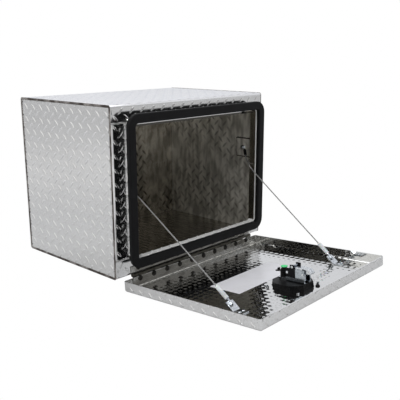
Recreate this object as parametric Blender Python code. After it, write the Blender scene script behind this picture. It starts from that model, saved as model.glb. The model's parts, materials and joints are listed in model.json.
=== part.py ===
"""Underbody truck tool box in tread plate: a bent and welded body with a mouth ring and seal,
a drop-down door on a piano hinge, two stay cables, and a slam latch with paddle and key lock.

Metres, +Z up. The origin is at the centre of the body's bottom face and the door faces -Y.
The door is built in its own frame: its empty lies on the hinge pin, local -Y runs along the
open door away from the hinge, and local +Z is the door's inner side.
"""

import math

import bmesh
import bpy
from mathutils import Matrix, Vector

# Body
BODY_WIDTH = 0.6096
BODY_DEPTH = 0.4064
BODY_HEIGHT = 0.4572
SHEET = 0.0025
BEND_INSIDE_RADIUS = 0.004
SEAT_GAP = 0.0003
CUT_OVERRUN = 0.004
MERGE_DISTANCE = 0.000001

# Mouth: the bands left round the opening, the ring that stands out of it and its seal
SIDE_BAND = 0.0493
BOTTOM_BAND = 0.050
TOP_BAND = 0.0437
TOP_SEAM_DROP = 0.002
STRIKE_DROP = 0.015
MOUTH_CORNER_RADIUS = 0.012
LIP_THICKNESS = 0.0025
LIP_LENGTH = 0.0345
SEAL_INSIDE = 0.0025
SEAL_OUTSIDE = 0.0225
SEAL_DEPTH = 0.012
SEAL_FRONT_WALL = 0.0025
SEAL_ROUNDING = 0.0035
SEAL_BACK_ROUNDING = 0.0015

# Weld beads on the end panels' edges, which stand out past the body's corners
WELD_SIDE_REACH = 0.0048
WELD_HEIGHT = 0.0009
WELD_TOE = 0.0008
WELD_FULLNESS_SHARE = 0.4

# Piano hinge
HINGE_LEAF = 0.002
HINGE_PIN_RADIUS = 0.0024
HINGE_PIN_CLEARANCE = 0.0001
HINGE_PIN_END = 0.001
KNUCKLE_LENGTH = 0.0254
KNUCKLE_SIDE_GAP = 0.0003
KNUCKLE_RELIEF = 0.0007
DOOR_LEAF_REACH = 0.028
BOX_LEAF_REACH = 0.024
DOOR_RIVET_REACH = 0.0122
BOX_RIVET_REACH = 0.0178
RIVET_PITCH = 2 * KNUCKLE_LENGTH
RIVET_RADIUS = 0.0024
RIVET_HOLE_CLEARANCE = 0.0002
RIVET_HEAD_RADIUS = 0.0055
RIVET_HEAD_HEIGHT = 0.003
RIVET_TAIL_RADIUS = 0.004
RIVET_TAIL_HEIGHT = 0.0018

# Door
DOOR_OPEN_TILT = math.radians(4.25)
DOOR_SIDE_FIT = 0.004
DOOR_SEAL_FIT = 0.0015
DOOR_RIM_FIT = 0.0031
DOOR_CORNER_MARGIN = 0.0005

# Stay cables, their wall anchors and door brackets
CABLE_RADIUS = 0.0018
ANCHOR_FROM_FRONT = 0.0650
ANCHOR_DROP = 0.1796
ANCHOR_PLATE_SIZE = 0.057
ANCHOR_PLATE = 0.0025
ANCHOR_CORNER_RADIUS = 0.003
CLAMP_BOLT_RADIUS = 0.003
CLAMP_HOLE_CLEARANCE = 0.0003
CLAMP_NUT_RADIUS = 0.0058
CLAMP_NUT_HEIGHT = 0.0048
CLAMP_HEAD_HEIGHT = 0.0036
CLAMP_THREAD_END = 0.002
LUG_THICKNESS = 0.002
LUG_EYE_RADIUS = 0.008
LUG_NECK_WIDTH = 0.006
LUG_NECK_REACH = 0.009
LUG_BARREL_START = 0.0135
LUG_BARREL_LENGTH = 0.010
LUG_BARREL_RADIUS = 0.0034
LUG_EMBED_SHARE = 0.3
UPPER_SLEEVE_START = 0.0155
UPPER_SLEEVE_LENGTH = 0.028
UPPER_SLEEVE_RADIUS = 0.0048
LOWER_SLEEVE_START = 0.016
LOWER_SLEEVE_LENGTH = 0.041
LOWER_SLEEVE_RADIUS = 0.0055
SLEEVE_TAPER = 0.006
SLEEVE_MOUTH_WALL = 0.001
SLEEVE_FIT = 0.0003
STAY_FROM_SIDE = 0.0605
STAY_FROM_EDGE = 0.1332
STAY_TAB_ANGLE = math.radians(39.2)
STAY_TAB_END = 0.0085
STAY_EYE_RISE = 0.0165
STAY_BRACKET_SHEET = 0.0025
STAY_BRACKET_WIDTH = 0.0255
STAY_FOOT_LENGTH = 0.027
STAY_BEND_RADIUS = 0.002
STAY_RIVET_SPREAD = 0.0065
STAY_RIVET_SHARE = 0.55
LOW_RIVET_HEAD_RADIUS = 0.0045
LOW_RIVET_HEAD_HEIGHT = 0.002
CABLE_SAMPLE_STEP = 0.0095

# Each cable's own points between its two lugs, chosen by hand along its real route:
# inward from the end wall, forward from the wall stud and down from it
CABLE_ROUTE = (
    (0.0331, 0.0371, 0.0261),
    (0.0432, 0.0498, 0.0338),
    (0.0559, 0.0701, 0.0452),
    (0.0623, 0.0980, 0.0647),
)

# Slam latch; its frame has its origin on the door's inner skin at the dish's centre
LATCH_FROM_EDGE = 0.1132
DISH_HALF_WIDTH = 0.050
DISH_CORNER_CUT = 0.026
DISH_HEIGHT = 0.015
DISH_WALL = 0.002
DISH_DRAFT = 0.002
DISH_FLANGE_HALF_WIDTH = 0.059
DISH_FLANGE_CORNER_CUT = 0.012
DISH_FLANGE = 0.002
DISH_CUTOUT_FIT = 0.001
GASKET = 0.0012
GASKET_INSET = 0.001
DISH_SCREW_SPREAD = 0.047
DISH_SCREW_RADIUS = 0.002
DISH_SCREW_HEAD_RADIUS = 0.0038
DISH_SCREW_HEAD_HEIGHT = 0.0022
DISH_NUT_RADIUS = 0.0041
DISH_NUT_HEIGHT = 0.0032
DISH_SCREW_END = 0.0015
PADDLE_PIVOT_REACH = 0.036
PADDLE_PIVOT_RISE = 0.008
PADDLE_PIN_RADIUS = 0.002
PADDLE_PIN_CLEARANCE = 0.0001
PADDLE_BARREL_RADIUS = 0.004
PADDLE_EAR_INNER = 0.028
PADDLE_EAR = 0.003
PADDLE_EAR_HALF_LENGTH = 0.005
PADDLE_PIN_END = 0.001
PADDLE_HALF_WIDTH = 0.0335
PADDLE_PLATE = 0.0025
PADDLE_FREE_REACH = 0.040
PADDLE_NEAR_REACH = 0.004
PADDLE_FACE_DROP = 0.0125
PADDLE_NEAR_CLIP = 0.0135
PADDLE_FAR_CLIP = 0.008
PADDLE_NOTCH_FIT = 0.001
PADDLE_GRIP_RISE = 0.005
PADDLE_TAIL_LENGTH = 0.030
PADDLE_TAIL_HALF_WIDTH = 0.004
PADDLE_TAIL_THICKNESS = 0.005
TAIL_SLOT_BACK = 0.0085
TAIL_SLOT_FRONT = 0.004
TAIL_SLOT_FIT = 0.0015
TAIL_TO_LUG_GAP = 0.0005

# Latch bracket, slam bolt and their pins
BRACKET_SHEET = 0.002
BRACKET_HALF_GAP = 0.013
BRACKET_REAR_REACH = 0.010
BRACKET_FRONT_REACH = 0.046
BRACKET_HEIGHT = 0.0355
BRACKET_EAR_HEIGHT = 0.0455
BRACKET_EAR_CENTRE = 0.010
BRACKET_EAR_HALF_LENGTH = 0.007
BRACKET_BEND_RADIUS = 0.0015
BRACKET_SLOT_HALF_WIDTH = 0.0065
BRACKET_SLOT_START = 0.026
SPRING_TAB_REACH = 0.006
BOLT_SIDE_FIT = 0.0003
BOLT_RISE = 0.0421
BOLT_THICKNESS = 0.0119
BOLT_BODY_REAR = 0.0017
BOLT_BODY_FRONT = 0.0385
BOLT_NOSE_HALF_WIDTH = 0.010
BOLT_NOSE_REACH = 0.0623
BOLT_NOSE_BEVEL = 0.0085
BOLT_LUG_HALF_WIDTH = 0.006
BOLT_LUG_LENGTH = 0.005
BOLT_LUG_DROP = 0.011
GUIDE_PIN_RADIUS = 0.002
GUIDE_PIN_FIT = 0.0003
GUIDE_PIN_HEAD_RADIUS = 0.0034
GUIDE_PIN_HEAD_HEIGHT = 0.0015
GUIDE_REAR_REACH = 0.0055
GUIDE_FRONT_REACH = 0.0425
BOLT_SPRING_RADIUS = 0.0035
BOLT_SPRING_WIRE = 0.0005
BOLT_SPRING_TURNS = 6
BOLT_SPRING_FIT = 0.0003
BOLT_SPRING_RISE = 0.0345

# Key lock
LOCK_REACH = 0.0292
LOCK_SIDE = 0.003
LOCK_RADIUS = 0.0095
LOCK_BORE_RADIUS = 0.0065
LOCK_TOP = 0.0345
LOCK_END_WALL = 0.002
LOCK_FACE_RIM_RADIUS = 0.0115
LOCK_FACE_RIM = 0.0015
LOCK_HOLE_FIT = 0.0003
LOCK_NUT_RADIUS = 0.0135
LOCK_NUT_HEIGHT = 0.005
LOCK_PLUG_CLEARANCE = 0.0003
LOCK_PLUG_FACE_INSET = 0.001
LOCK_PLUG_NECK_RADIUS = 0.003
KEYWAY_WIDTH = 0.0016
KEYWAY_HEIGHT = 0.007
KEYWAY_DEPTH = 0.006
LOCK_CAM = 0.002
LOCK_CAM_LENGTH = 0.022
LOCK_CAM_HALF_WIDTH = 0.0045
LOCK_CAM_EYE_RADIUS = 0.0065
LOCK_CAM_ANGLE = math.radians(126)
CAM_NUT_RADIUS = 0.0075
CAM_NUT_HEIGHT = 0.005
LOCK_CAM_GAP = 0.0004
LOCK_CAP_RADIUS = 0.0085
LOCK_CAP_HEIGHT = 0.0035
LOCK_CAP_WALL = 0.001

# Door bumper
BUMPER_X = 0.031
BUMPER_FROM_EDGE = 0.0569
BUMPER_RADIUS = 0.005
BUMPER_HEIGHT = 0.0125

# Counts
BEND_STEPS = 4
CORNER_STEPS = 6
KNUCKLE_STEPS = 12
PIN_STEPS = 20
RIVET_STEPS = 10
DOME_STEPS = 3
LOW_DOME_STEPS = 2
NUT_POINTS = 12
SCREW_STEPS = 10
ROUND_STEPS = 20
BOLT_SPRING_POINTS = 9
CURL_WRAP = math.radians(296)
MILLIMETRES = 1000

# Places that follow from the sizes above
HALF_WIDTH = BODY_WIDTH / 2
FRONT_Y = -BODY_DEPTH / 2
BACK_Y = BODY_DEPTH / 2
MOUTH_HALF_WIDTH = HALF_WIDTH - SIDE_BAND
MOUTH_TOP = BODY_HEIGHT - TOP_BAND
MOUTH_CENTRE_Z = (BOTTOM_BAND + MOUTH_TOP) / 2
MOUTH_HALF_HEIGHT = (MOUTH_TOP - BOTTOM_BAND) / 2
KNUCKLE_RADIUS = HINGE_PIN_RADIUS + HINGE_PIN_CLEARANCE + HINGE_LEAF
PIN_Y = FRONT_Y - SEAT_GAP - KNUCKLE_RADIUS
LIP_FRONT_Y = FRONT_Y - SEAT_GAP - LIP_LENGTH
SEAL_FRONT_Y = LIP_FRONT_Y - SEAT_GAP - SEAL_FRONT_WALL
KNUCKLE_COUNT = 2 * int(MOUTH_HALF_WIDTH / KNUCKLE_LENGTH)
RIVET_COUNT = KNUCKLE_COUNT // 2
HINGE_HALF_LENGTH = KNUCKLE_LENGTH * KNUCKLE_COUNT / 2
RIVET_HOLE_RADIUS = RIVET_RADIUS + RIVET_HOLE_CLEARANCE
DOOR_HALF_WIDTH = MOUTH_HALF_WIDTH + SEAL_OUTSIDE + DOOR_SIDE_FIT + SHEET
DOOR_INNER_Z = SEAL_FRONT_Y - DOOR_SEAL_FIT - PIN_Y
DOOR_OUTER_Z = DOOR_INNER_Z - SHEET
DOOR_RIM_Z = -KNUCKLE_RADIUS - DOOR_RIM_FIT
DOOR_REAR = KNUCKLE_RADIUS - HINGE_LEAF - SEAT_GAP - SHEET
DOOR_REACH = BODY_HEIGHT
STAY_EYE_X = DOOR_HALF_WIDTH - STAY_FROM_SIDE
STAY_EYE_REACH = DOOR_REACH - STAY_FROM_EDGE
LATCH_REACH = DOOR_REACH - LATCH_FROM_EDGE
BUMPER_REACH = DOOR_REACH - BUMPER_FROM_EDGE
DOOR_CORNER_RADIUS = BEND_INSIDE_RADIUS + SHEET + DOOR_CORNER_MARGIN
CLAMP_REACH = STAY_BRACKET_SHEET + LUG_THICKNESS + CUT_OVERRUN
ANCHOR_Y = FRONT_Y + ANCHOR_FROM_FRONT
ANCHOR_HEIGHT = BODY_HEIGHT - ANCHOR_DROP
WALL_X = HALF_WIDTH - SHEET
DISH_SCREW_HOLE_RADIUS = DISH_SCREW_RADIUS + RIVET_HOLE_CLEARANCE
CLAMP_HOLE_RADIUS = CLAMP_BOLT_RADIUS + CLAMP_HOLE_CLEARANCE
LOW_RIVET_HEAD = (LOW_RIVET_HEAD_RADIUS, LOW_RIVET_HEAD_HEIGHT)


def clear_scene():
    for item in list(bpy.data.objects):
        bpy.data.objects.remove(item, do_unlink=True)


def finish(name, colour, roughness, metallic):
    material = bpy.data.materials.new(name)
    material.use_nodes = True
    shader = material.node_tree.nodes["Principled BSDF"]
    shader.inputs["Base Color"].default_value = (*colour, 1)
    shader.inputs["Roughness"].default_value = roughness
    shader.inputs["Metallic"].default_value = metallic
    return material


def make_finishes():
    return {
        "tread": finish("tread_aluminium", (0.78, 0.79, 0.80), 0.25, 1.0),
        "weld": finish("weld_metal", (0.70, 0.71, 0.72), 0.40, 1.0),
        "rubber": finish("seal_rubber", (0.015, 0.015, 0.016), 0.60, 0.0),
        "hinge": finish("hinge_steel", (0.55, 0.55, 0.54), 0.35, 1.0),
        "rivet": finish("rivet_steel", (0.20, 0.20, 0.20), 0.40, 1.0),
        "zinc": finish("bright_zinc", (0.66, 0.68, 0.70), 0.30, 1.0),
        "black": finish("black_enamel", (0.012, 0.012, 0.013), 0.30, 0.0),
        "cable": finish("cable_strand", (0.50, 0.50, 0.50), 0.40, 1.0),
        "sleeve": finish("pale_sleeve", (0.80, 0.82, 0.84), 0.35, 0.0),
        "green": finish("green_cap", (0.03, 0.75, 0.22), 0.40, 0.0),
    }


def frame_empty(name, location, parent=None, tilt=0, turn=0, lean=0):
    empty = bpy.data.objects.new(name, None)
    bpy.context.collection.objects.link(empty)
    empty.parent = parent
    empty.location = location
    empty.rotation_euler = (tilt, lean, turn)
    return empty


def add_piece(name, bm, material, parent=None, location=(0, 0, 0), rotation=(0, 0, 0)):
    """One named object from a bmesh, round edges smooth and sharp ones kept sharp."""
    bmesh.ops.recalc_face_normals(bm, faces=bm.faces)
    mesh = bpy.data.meshes.new(name)
    bm.to_mesh(mesh)
    bm.free()
    mesh.shade_smooth()
    mesh.set_sharp_from_angle(angle=math.radians(40))
    mesh.materials.append(material)
    piece = bpy.data.objects.new(name, mesh)
    bpy.context.collection.objects.link(piece)
    piece.parent = parent
    piece.location = location
    piece.rotation_euler = rotation
    return piece


def combine(piece, tool, operation):
    """Cut from, join to or keep of a piece what the tool's closed bodies cover."""
    bmesh.ops.recalc_face_normals(tool, faces=tool.faces)
    mesh = bpy.data.meshes.new(piece.name + "_" + operation.lower())
    tool.to_mesh(mesh)
    tool.free()
    guide = bpy.data.objects.new(mesh.name, mesh)
    bpy.context.collection.objects.link(guide)
    guide.parent = piece.parent
    guide.location = piece.location
    guide.rotation_euler = piece.rotation_euler
    guide.hide_render = True
    guide.display_type = "WIRE"
    modifier = piece.modifiers.new(operation.title(), "BOOLEAN")
    modifier.operation = operation
    modifier.solver = "EXACT"
    modifier.object = guide
    return piece


def cut(piece, tool):
    return combine(piece, tool, "DIFFERENCE")


def join(piece, tool):
    return combine(piece, tool, "UNION")


def skin(rings, wrap_rings=False, wrap_points=True):
    """Faces between neighbouring rows of points, closed round both ways or capped at the ends."""
    bm = bmesh.new()
    rows = [[bm.verts.new(point) for point in ring] for ring in rings]
    row_pairs = list(zip(rows, rows[1:]))
    if wrap_rings:
        row_pairs.append((rows[-1], rows[0]))
    for low, high in row_pairs:
        last = len(low) if wrap_points else len(low) - 1
        for index in range(last):
            following = (index + 1) % len(low)
            bm.faces.new((low[index], low[following], high[following], high[index]))
    if not wrap_rings:
        bm.faces.new(rows[0])
        bm.faces.new(rows[-1])
    if not wrap_points:
        bm.faces.new([row[0] for row in rows])
        bm.faces.new([row[-1] for row in rows])
    return bm


def prism(outline, start, end, place):
    """A bar: the flat outline at the start depth joined to the same outline at the end."""
    rings = [[place(u, v, depth) for u, v in outline] for depth in (start, end)]
    return skin(rings)


def merge(target, extra):
    """Add another closed body to a bmesh."""
    mesh = bpy.data.meshes.new("merged_body")
    bmesh.ops.recalc_face_normals(extra, faces=extra.faces)
    extra.to_mesh(mesh)
    extra.free()
    target.from_mesh(mesh)
    bpy.data.meshes.remove(mesh)
    return target


def merge_all(bodies):
    first = bodies[0]
    for body in bodies[1:]:
        merge(first, body)
    return first


def block(low, high):
    outline = ((low[0], low[1]), (high[0], low[1]), (high[0], high[1]), (low[0], high[1]))
    return prism(outline, low[2], high[2], lambda u, v, depth: Vector((u, v, depth)))


def turned(profile, steps, place=None, closed=False):
    """A round body: the (radius, height) profile spun about Z, then moved to its place."""
    bm = bmesh.new()
    verts = [bm.verts.new((radius, 0, height)) for radius, height in profile]
    pairs = list(zip(verts, verts[1:]))
    if closed:
        pairs.append((verts[-1], verts[0]))
    edges = [bm.edges.new(pair) for pair in pairs]
    bmesh.ops.spin(bm, geom=verts + edges, cent=(0, 0, 0), axis=(0, 0, 1), angle=math.tau, steps=steps)
    bmesh.ops.remove_doubles(bm, verts=bm.verts, dist=MERGE_DISTANCE)
    bmesh.ops.recalc_face_normals(bm, faces=bm.faces)
    if place:
        bmesh.ops.transform(bm, matrix=place, verts=bm.verts)
    return bm


def cylinder(radius, start, end, steps, place=None):
    return turned(((0, start), (radius, start), (radius, end), (0, end)), steps, place)


def along_x(origin=(0, 0, 0)):
    """Turned bodies' own Z laid along +X."""
    return Matrix.Translation(origin) @ Matrix.Rotation(math.pi / 2, 4, "Y")


def along_minus_y(origin=(0, 0, 0)):
    """Turned bodies' own Z laid along -Y."""
    return Matrix.Translation(origin) @ Matrix.Rotation(math.pi / 2, 4, "X")


def upright(origin=(0, 0, 0)):
    return Matrix.Translation(origin)


def arc(centre, radius, start, sweep, steps):
    """Points of an arc, ends included."""
    angles = [start + sweep * index / steps for index in range(steps + 1)]
    return [(centre[0] + radius * math.cos(a), centre[1] + radius * math.sin(a)) for a in angles]


def rounded_rectangle(half_u, half_v, radius, steps=CORNER_STEPS, centre=(0, 0)):
    points = []
    corners = ((1, 1), (-1, 1), (-1, -1), (1, -1))
    for quarter, (side_u, side_v) in enumerate(corners):
        middle = (centre[0] + side_u * (half_u - radius), centre[1] + side_v * (half_v - radius))
        points += arc(middle, radius, quarter * math.pi / 2, math.pi / 2, steps)
    return points


def clipped_square(half, clip, centre=(0, 0)):
    """A square with its four corners cut off, eight points."""
    short = half - clip
    corners = (
        (half, short), (short, half), (-short, half), (-half, short),
        (-half, -short), (-short, -half), (short, -half), (half, -short),
    )
    return [(centre[0] + u, centre[1] + v) for u, v in corners]


def bent_sheet(face_line, thickness, inside_radius, steps=BEND_STEPS):
    """Outline of a bent sheet: one face follows the line and the sheet lies on the line's left."""
    points = [Vector(point) for point in face_line]
    face = []
    back = []
    for index, corner in enumerate(points):
        before = (corner - points[index - 1]).normalized() if index else None
        after = (points[index + 1] - corner).normalized() if index + 1 < len(points) else None
        if before is None or after is None:
            along = after if before is None else before
            face.append(corner)
            back.append(corner + Vector((-along.y, along.x)) * thickness)
            continue
        turn = math.atan2(before.cross(after), before.dot(after))
        side = math.copysign(1, turn)
        face_radius = inside_radius + (thickness if side > 0 else 0)
        back_radius = face_radius - side * thickness
        tangent = corner - before * face_radius * math.tan(abs(turn) / 2)
        middle = tangent + Vector((-before.y, before.x)) * side * face_radius
        spoke = (tangent - middle).normalized()
        for step in range(steps + 1):
            swung = Matrix.Rotation(turn * step / steps, 2) @ spoke
            face.append(middle + swung * face_radius)
            back.append(middle + swung * back_radius)
    return [(p.x, p.y) for p in face + back[::-1]]


def dome(radius, base, height, steps=DOME_STEPS):
    """Half an arch of profile points from a round head's rim to its crown."""
    angles = [math.pi / 2 * index / steps for index in range(steps)]
    rim = [(radius * math.cos(a), base + height * math.sin(a)) for a in angles]
    return rim + [(0, base + height)]


def rivet(head, grip, sink, place, steps=RIVET_STEPS):
    """A set rivet: its head sits above height zero and its rim is sunk, its tail is below the grip."""
    head_radius, head_height = head
    tail_side = dome(RIVET_TAIL_RADIUS, 0, RIVET_TAIL_HEIGHT, LOW_DOME_STEPS)
    profile = [(radius, -grip - height) for radius, height in tail_side[::-1]]
    profile += [(RIVET_RADIUS, -grip), (RIVET_RADIUS, -sink), (head_radius, -sink)]
    profile += dome(head_radius, 0, head_height)
    return turned(profile, steps, place)


def nut_ring(reaches, height):
    """A row of points at one height, their distances from the middle taken from the two in turn."""
    ring = []
    for index in range(NUT_POINTS):
        angle = math.tau * index / NUT_POINTS
        reach = reaches[index % 2]
        ring.append(Vector((reach * math.cos(angle), reach * math.sin(angle), height)))
    return ring


def nut(radius, bore, start, end, place):
    """A six-sided nut whose round bore clears the given radius all the way round."""
    inside = [bore / math.cos(math.pi / NUT_POINTS)] * 2
    hexagon = [radius, radius * math.cos(math.pi / 6)]
    rings = [
        nut_ring(inside, start), nut_ring(hexagon, start), nut_ring(hexagon, end), nut_ring(inside, end),
    ]
    bm = skin(rings, wrap_rings=True)
    bmesh.ops.transform(bm, matrix=place, verts=bm.verts)
    return bm


def rivet_places():
    middle = (RIVET_COUNT - 1) / 2
    return [(index - middle) * RIVET_PITCH for index in range(RIVET_COUNT)]


def make_body_wrapper(finishes):
    """One sheet bent round as bottom band, bottom, back, top and top band with strike tongue."""
    strike_edge = MOUTH_TOP - STRIKE_DROP
    seam = MOUTH_TOP - TOP_SEAM_DROP
    outline = bent_sheet((
        (FRONT_Y, BOTTOM_BAND), (FRONT_Y, 0), (BACK_Y, 0), (BACK_Y, BODY_HEIGHT),
        (FRONT_Y, BODY_HEIGHT), (FRONT_Y, strike_edge),
    ), SHEET, BEND_INSIDE_RADIUS)
    body = prism(outline, -HALF_WIDTH, HALF_WIDTH, lambda y, z, x: Vector((x, y, z)))
    wrapper = add_piece("body_wrapper", body, finishes["tread"])
    tools = []
    for side in (-1, 1):
        edges = sorted((side * MOUTH_HALF_WIDTH, side * (HALF_WIDTH + CUT_OVERRUN)))
        tools.append(block(
            (edges[0], FRONT_Y - CUT_OVERRUN, strike_edge - CUT_OVERRUN),
            (edges[1], FRONT_Y + SHEET + CUT_OVERRUN, seam),
        ))
    for x in rivet_places():
        place = along_minus_y((x, FRONT_Y, BOX_RIVET_REACH))
        tools.append(cylinder(RIVET_HOLE_RADIUS, -SHEET - CUT_OVERRUN, CUT_OVERRUN, RIVET_STEPS, place))
    cut(wrapper, merge_all(tools))


def make_end_panels(finishes):
    """End sheets between the wrapper's edges, each folded round as a front side band."""
    inner_front = FRONT_Y + SHEET + SEAT_GAP
    inner_high = BODY_HEIGHT - SHEET - SEAT_GAP
    half_y = -inner_front
    half_z = (inner_high - SHEET - SEAT_GAP) / 2
    rounding = BEND_INSIDE_RADIUS - SEAT_GAP
    outline = rounded_rectangle(half_y, half_z, rounding, BEND_STEPS, (0, BODY_HEIGHT / 2))
    front_corner = 2 * (BEND_STEPS + 1)
    seam_high = MOUTH_TOP - TOP_SEAM_DROP - SEAT_GAP
    seam_low = BOTTOM_BAND + SEAT_GAP
    band = [
        (inner_front, seam_high), (FRONT_Y - CUT_OVERRUN, seam_high),
        (FRONT_Y - CUT_OVERRUN, seam_low), (inner_front, seam_low),
    ]
    keeper_outline = outline[:front_corner] + band + outline[front_corner:]
    for name, side in (("left_end_panel", -1), ("right_end_panel", 1)):
        folded = bent_sheet((
            (MOUTH_HALF_WIDTH, FRONT_Y), (HALF_WIDTH, FRONT_Y), (HALF_WIDTH, BACK_Y),
        ), SHEET, BEND_INSIDE_RADIUS)
        body = prism(folded, 0, BODY_HEIGHT, lambda x, y, z: Vector((side * x, y, z)))
        panel = add_piece(name, body, finishes["tread"])
        reach = sorted((side * (MOUTH_HALF_WIDTH - CUT_OVERRUN), side * (HALF_WIDTH + CUT_OVERRUN)))
        keeper = prism(keeper_outline, reach[0], reach[1], lambda y, z, x: Vector((x, y, z)))
        combine(panel, keeper, "INTERSECT")


def seam_rail(inset, x):
    """A line along the body's end, from the bottom band's edge round to the top band's."""
    radius = BEND_INSIDE_RADIUS + SHEET - inset
    half = -FRONT_Y - inset
    outline = rounded_rectangle(half, BODY_HEIGHT / 2 - inset, radius, BEND_STEPS, (0, BODY_HEIGHT / 2))
    front_corner = 2 * (BEND_STEPS + 1)
    start = (-half, MOUTH_TOP - TOP_SEAM_DROP)
    end = (-half, BOTTOM_BAND)
    line = [end] + outline[front_corner:] + outline[:front_corner] + [start]
    return [Vector((x, y, z)) for y, z in line]


def weld_section():
    """The bead's outline as pairs: inset from the body's edge, and height over the end's face."""
    reach_in = WELD_SIDE_REACH + SEAT_GAP + WELD_HEIGHT
    section = []
    for index in range(BEND_STEPS + 1):
        angle = math.pi / 2 * index / BEND_STEPS
        across = max(math.cos(angle), 0) ** WELD_FULLNESS_SHARE if index < BEND_STEPS else 0
        up = math.sin(angle) ** WELD_FULLNESS_SHARE if index else 0
        section.append((WELD_SIDE_REACH - reach_in * across, SEAT_GAP + WELD_HEIGHT * up))
    section.append((WELD_SIDE_REACH + WELD_TOE, SEAT_GAP))
    return section


def make_corner_welds(finishes):
    for name, side in (("left_corner_weld", -1), ("right_corner_weld", 1)):
        rails = [seam_rail(inset, side * (HALF_WIDTH + height)) for inset, height in weld_section()]
        add_piece(name, skin(rails, wrap_rings=True, wrap_points=False), finishes["weld"])


def mouth_loop(grow, y):
    outline = rounded_rectangle(
        MOUTH_HALF_WIDTH + grow, MOUTH_HALF_HEIGHT + grow, MOUTH_CORNER_RADIUS + grow,
        CORNER_STEPS, (0, MOUTH_CENTRE_Z),
    )
    return [Vector((x, y, z)) for x, z in outline]


def make_opening_lip(finishes):
    back = FRONT_Y - SEAT_GAP
    section = ((0, back), (0, LIP_FRONT_Y), (LIP_THICKNESS, LIP_FRONT_Y), (LIP_THICKNESS, back))
    add_piece("opening_lip", skin([mouth_loop(*point) for point in section], True), finishes["tread"])


def make_door_seal(finishes):
    """Rubber section with a slot that grips the lip's edge, swept round the mouth."""
    back = SEAL_FRONT_Y + SEAL_DEPTH
    slot_floor = LIP_FRONT_Y - SEAT_GAP
    slot = (-SEAT_GAP, LIP_THICKNESS + SEAT_GAP)
    round_front = SEAL_FRONT_Y + SEAL_ROUNDING
    outer = SEAL_OUTSIDE - SEAL_ROUNDING
    inner = SEAL_ROUNDING - SEAL_INSIDE
    section = [(slot[0], back), (slot[0], slot_floor), (slot[1], slot_floor), (slot[1], back)]
    section += [(SEAL_OUTSIDE - SEAL_BACK_ROUNDING, back), (SEAL_OUTSIDE, back - SEAL_BACK_ROUNDING)]
    section += arc((outer, round_front), SEAL_ROUNDING, 0, -math.pi / 2, BEND_STEPS)
    section += arc((inner, round_front), SEAL_ROUNDING, -math.pi / 2, -math.pi / 2, BEND_STEPS)
    section.append((-SEAL_INSIDE, back))
    add_piece("door_seal", skin([mouth_loop(*point) for point in section], True), finishes["rubber"])


def hinge_leaf_outline(reach):
    """Leaf and curl in one: u runs away from the pin and w to the leaf's outer side."""
    outer = arc((0, 0), KNUCKLE_RADIUS, math.pi / 2, CURL_WRAP, KNUCKLE_STEPS)
    inner = arc((0, 0), KNUCKLE_RADIUS - HINGE_LEAF, math.pi / 2, CURL_WRAP, KNUCKLE_STEPS)
    return [(reach, KNUCKLE_RADIUS)] + outer + inner[::-1] + [(reach, KNUCKLE_RADIUS - HINGE_LEAF)]


def knuckle_gaps(first, place):
    """Cutters that clear every second knuckle, starting with the given one."""
    tools = []
    reach = KNUCKLE_RADIUS + CUT_OVERRUN
    for index in range(first, KNUCKLE_COUNT, 2):
        start = index * KNUCKLE_LENGTH - HINGE_HALF_LENGTH - KNUCKLE_SIDE_GAP / 2
        end = start + KNUCKLE_LENGTH + KNUCKLE_SIDE_GAP
        start -= 0 if index else CUT_OVERRUN
        end += CUT_OVERRUN if index == KNUCKLE_COUNT - 1 else 0
        relief = KNUCKLE_RADIUS + KNUCKLE_RELIEF
        outline = ((-reach, -reach), (relief, -reach), (relief, reach), (-reach, reach))
        tools.append(prism(outline, start, end, place))
    return tools


def make_hinge(finishes, door):
    """Piano hinge: two curled leaves with their set rivets, sharing one pin, their knuckles in turn."""
    def box_place(u, w, x):
        return Vector((x, PIN_Y + w, u))

    def door_place(u, w, x):
        return Vector((x, -w, -u))

    box_front = KNUCKLE_RADIUS - HINGE_LEAF
    box_grip = FRONT_Y + SHEET + SEAT_GAP - PIN_Y - box_front
    door_grip = KNUCKLE_RADIUS - DOOR_REAR + SEAT_GAP
    leaves = (
        ("hinge_box_leaf", None, box_place, BOX_LEAF_REACH, BOX_RIVET_REACH, box_front, box_grip),
        ("hinge_door_leaf", door, door_place, DOOR_LEAF_REACH, DOOR_RIVET_REACH, KNUCKLE_RADIUS, door_grip),
    )
    head = (RIVET_HEAD_RADIUS, RIVET_HEAD_HEIGHT)
    for name, parent, place, reach, rivet_reach, face, grip in leaves:
        first_gap = 0 if parent else 1
        body = prism(hinge_leaf_outline(reach), -HINGE_HALF_LENGTH, HINGE_HALF_LENGTH, place)
        leaf = add_piece(name, body, finishes["hinge"], parent)
        rivets = [
            rivet(head, grip, HINGE_LEAF / 2, along_minus_y(place(rivet_reach, face, x)))
            for x in rivet_places()
        ]
        join(leaf, merge_all(rivets))
        cut(leaf, merge_all(knuckle_gaps(first_gap, place)))
    half = HINGE_HALF_LENGTH + HINGE_PIN_END
    pin = cylinder(HINGE_PIN_RADIUS, -half, half, PIN_STEPS, along_x((0, PIN_Y, 0)))
    add_piece("hinge_pin", pin, finishes["hinge"])


def pan_ring(inset, z):
    middle = (DOOR_REAR + DOOR_REACH) / 2
    half = (DOOR_REACH - DOOR_REAR) / 2
    outline = rounded_rectangle(DOOR_HALF_WIDTH - inset, half - inset, DOOR_CORNER_RADIUS - inset, BEND_STEPS)
    return [Vector((x, y - middle, z)) for x, y in outline]


def octagon(grow, centre=(0, 0)):
    """The dish's outline, moved out evenly by the grown amount."""
    clip = DISH_CORNER_CUT + grow * (2 - math.sqrt(2))
    return clipped_square(DISH_HALF_WIDTH + grow, clip, centre)


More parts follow.
